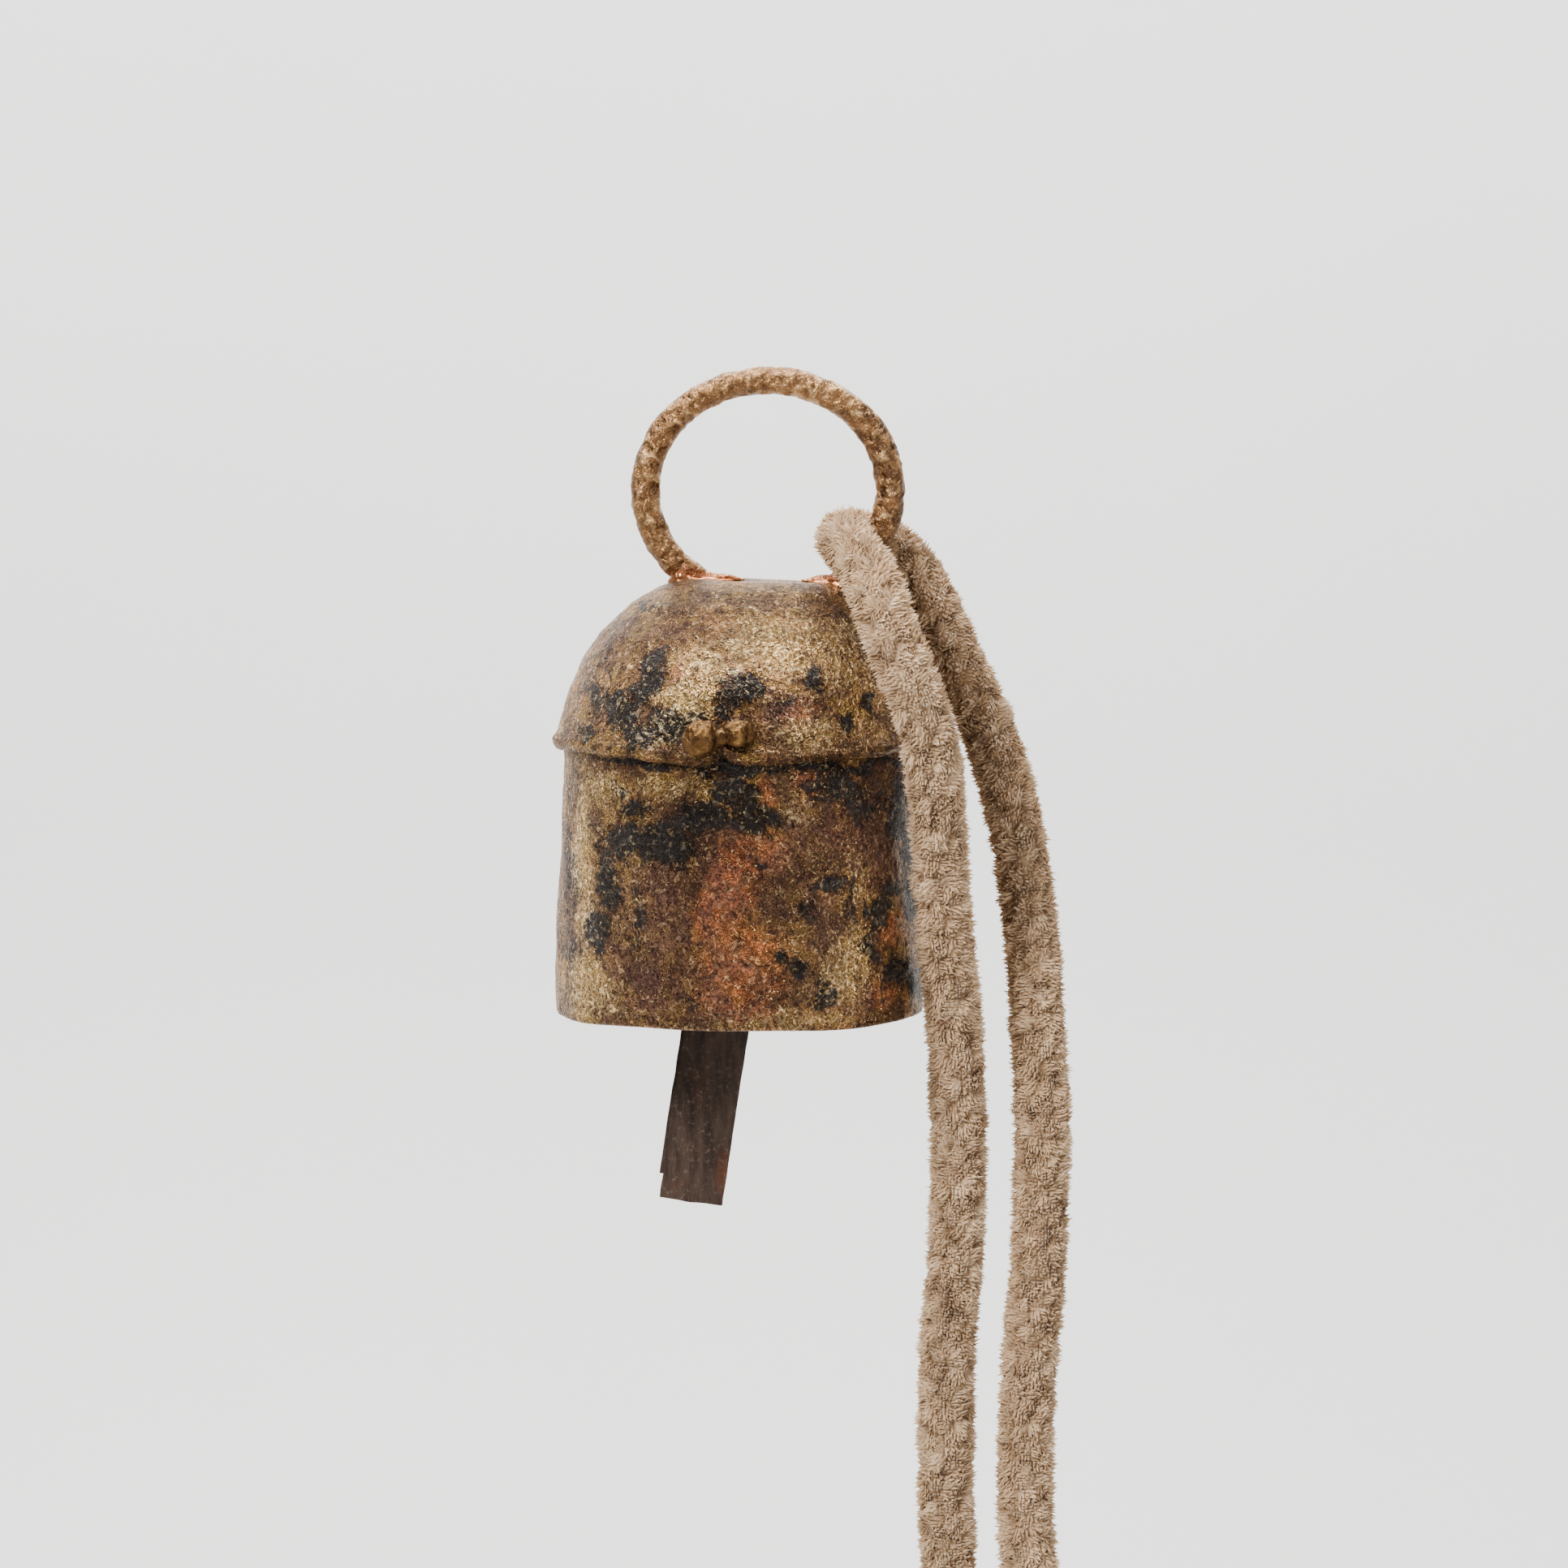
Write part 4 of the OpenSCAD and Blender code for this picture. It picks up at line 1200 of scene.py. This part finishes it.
# %% Clapper finish
clapper_finish, tree, shader, mm = new_material("mill_scale")
stretched = add(tree, "VectorMath", {0: mm, 1: (1.0, 1.0, 0.16)}, operation="MULTIPLY").outputs[0]
streak = grain(tree, stretched, 1.3, 5.0, 0.7)
bloom = grain(tree, mm, 0.5, 4.0, 0.6)
colour = blend(tree, step_up(tree, streak, 0.30, 0.70), rgb(60, 49, 44), rgb(92, 75, 65))
rust = times(tree, step_up(tree, bloom, 0.52, 0.70), 0.35)
colour = blend(tree, rust, colour, rgb(92, 62, 46))
scuff = step_up(tree, grain(tree, mm, 2.2, 5.0, 0.75), 0.52, 0.70)
scuff = times(tree, scuff, step_up(tree, bloom, 0.40, 0.60, 0.15, 0.55))
colour = blend(tree, scuff, colour, rgb(150, 140, 130))
RUST_AT, RUST_SIZE = (-3.6, -1.0, -67.4), (1.1, 3.0, 2.6)
from_rust = add(tree, "VectorMath", {0: mm, 1: RUST_AT}, operation="SUBTRACT").outputs[0]
from_rust = add(tree, "VectorMath", {0: from_rust, 1: RUST_SIZE}, operation="DIVIDE").outputs[0]
from_rust = add(tree, "VectorMath", {0: from_rust}, operation="LENGTH").outputs["Value"]
near_rust = step_up(tree, calc(tree, "ADD", from_rust, bloom), 0.8, 1.7, 0.35, 0.0)
colour = blend(tree, near_rust, colour, rgb(128, 76, 48))
rough = step_up(tree, streak, 0.3, 0.7, 0.42, 0.62)
plug(tree, shader, {"Base Color": colour, "Roughness": rough, "Metallic": 0.5})
set_bump(tree, shader, times_add(tree, grain(tree, mm, 2.4, 5.0, 0.65), 0.8, streak), 0.06)

# %% [markdown]
# Shade is painted into the pile: it is darker down between the fibres and at their roots than at
# their tips, and the dye takes unevenly along the cord. Each fibre knows how far it reaches and how
# light it is through two values stored on the mesh, and a little sheen gives the tips their velvet
# rim.

# %% Chenille finish
chenille_finish, tree, shader, mm = new_material("taupe_chenille")
depth_shade = add(tree, "Attribute", attribute_name="fibre_depth_shade").outputs["Fac"]
shade = add(tree, "Attribute", attribute_name="fibre_shade").outputs["Fac"]
dye = grain(tree, mm, 0.30, 3.0, 0.6)
strand = grain(tree, mm, 4.2, 3.0, 0.7)
# Painted shade: dark at the roots and between the tufts, light at the fibre tips.
colour = blend(tree, step_up(tree, depth_shade, 0.02, 0.85), rgb(138, 110, 83), rgb(220, 192, 160))
colour = blend(tree, step_up(tree, shade, 0.45, 1.0, 0.0, 0.55), colour, rgb(238, 215, 186))
colour = blend(tree, step_up(tree, strand, 0.52, 0.70, 0.0, 0.45), colour, rgb(158, 128, 98))
colour = blend(tree, step_up(tree, dye, 0.42, 0.64, 0.0, 0.25), colour, rgb(176, 150, 120))
plug(tree, shader, {"Base Color": colour, "Roughness": step_up(tree, strand, 0.3, 0.7, 0.82, 0.98)})
plug(tree, shader, {"Sheen Weight": 0.35, "Sheen Roughness": 0.5, "Specular IOR Level": 0.2})
set_bump(tree, shader, strand, 0.05)

# %% [markdown]
# All the pieces and finishes are made, so each piece gets its own. Crown and skirt have two: the
# first for the coated outside and the second for the bare inside, as their faces were numbered
# when the shells were turned.

# %% Give each piece its finish
for piece, finishes in (
    (crown, (coated_finish, inner_iron)),
    (skirt, (coated_finish, inner_iron)),
    (ring, (ring_finish,)),
    (left_braze, (braze_finish,)),
    (right_braze, (braze_finish,)),
    (stitch, (stitch_finish,)),
    (staple, (inner_wire_finish,)),
    (link, (inner_wire_finish,)),
    (clapper, (clapper_finish,)),
    (cord, (chenille_finish,)),
    (knot, (chenille_finish,)),
    (left_tail, (chenille_finish,)),
    (right_tail, (chenille_finish,)),
):
    slots = np.zeros(len(piece.data.polygons), dtype=np.int32)
    piece.data.polygons.foreach_get("material_index", slots)
    piece.data.materials.clear()
    for finish in finishes:
        piece.data.materials.append(finish)
    piece.data.polygons.foreach_set("material_index", np.minimum(slots, len(finishes) - 1))
    print(piece.name, "finish:", ", ".join(f.name for f in finishes))

# %% [markdown]
# A plain pale floor lies well below the cord and curves up into a pale wall, so that no edge
# shows behind the bell. It runs on behind the camera to a second wall, so that a view from behind
# has a pale ground as well.

# %% Floor and wall
FLOOR_Z, WALL_TOP = -450, 1600
WALL_Y, FRONT_Y, HALF_WIDTH, SWEEP_R = 800, -3000, 3000, 350
profile = [(FRONT_Y, WALL_TOP), (FRONT_Y, FLOOR_Z), (WALL_Y - SWEEP_R, FLOOR_Z)]
for i in range(1, 17):
    a = math.pi / 2 * i / 16
    profile.append((WALL_Y - SWEEP_R + SWEEP_R * math.sin(a), FLOOR_Z + SWEEP_R * (1 - math.cos(a))))
profile.append((WALL_Y, WALL_TOP))
sweep_points = [(x, y, z) for y, z in profile for x in (-HALF_WIDTH, HALF_WIDTH)]
sweep_faces = [(2 * i, 2 * i + 1, 2 * i + 3, 2 * i + 2) for i in range(len(profile) - 1)]
sweep = add_piece("studio_sweep", sweep_points, sweep_faces)
paint, tree, shader, mm = new_material("pale_paint")
tone = blend(tree, grain(tree, mm, 0.004, 3.0, 0.5), (0.80, 0.80, 0.80, 1), (0.86, 0.86, 0.85, 1))
plug(tree, shader, {"Base Color": tone, "Roughness": 0.8})
sweep.data.materials.append(paint)

# %% [markdown]
# Soft light comes from wide panels: the main one high on the left, a weaker one on the right, one
# above, and one that washes the wall. Metal shows what stands round it, so the room beyond the
# panels is only a dim grey, and the panels give the coat its glints. The camera alone sees that
# room bright, so that every view has a pale ground.

# %% Light
world = bpy.data.worlds.new("dim room")
bpy.context.scene.world = world
world.use_nodes = True
room = world.node_tree
seen = room.nodes.new("ShaderNodeLightPath").outputs["Is Camera Ray"]
ROOM_DIM, ROOM_SEEN = 0.18, 1.48
strength = times_add(room, seen, ROOM_SEEN - ROOM_DIM, ROOM_DIM)
plug(room, room.nodes["Background"], {"Color": (0.97, 0.97, 0.96, 1.0), "Strength": strength})


def panel(name, place_mm, aim_mm, width, tall, watts, tint=(1.0, 1.0, 1.0)):
    """A soft rectangular light that faces a point."""
    data = bpy.data.lights.new(name, "AREA")
    data.shape = "RECTANGLE"
    data.size, data.size_y, data.energy, data.color = width, tall, watts, tint
    lamp = bpy.data.objects.new(name, data)
    lamp.location = Vector(place_mm) * MM
    aim = Vector(aim_mm) * MM - lamp.location
    lamp.rotation_euler = aim.to_track_quat("-Z", "Y").to_euler()
    bpy.context.scene.collection.objects.link(lamp)


panel("window", (-380, -480, 420), (0, 0, -35), 0.26, 0.26, 6.6, (1.0, 0.98, 0.95))
panel("fill", (520, -420, 60), (0, 0, -40), 0.30, 0.50, 1.5)
panel("sky", (-40, 160, 620), (0, 0, -30), 0.50, 0.50, 3.4)
panel("wall wash", (0, 300, 900), (0, 800, 60), 1.60, 0.40, 22.0)
bpy.context.scene.view_settings.look = "AgX - Medium High Contrast"
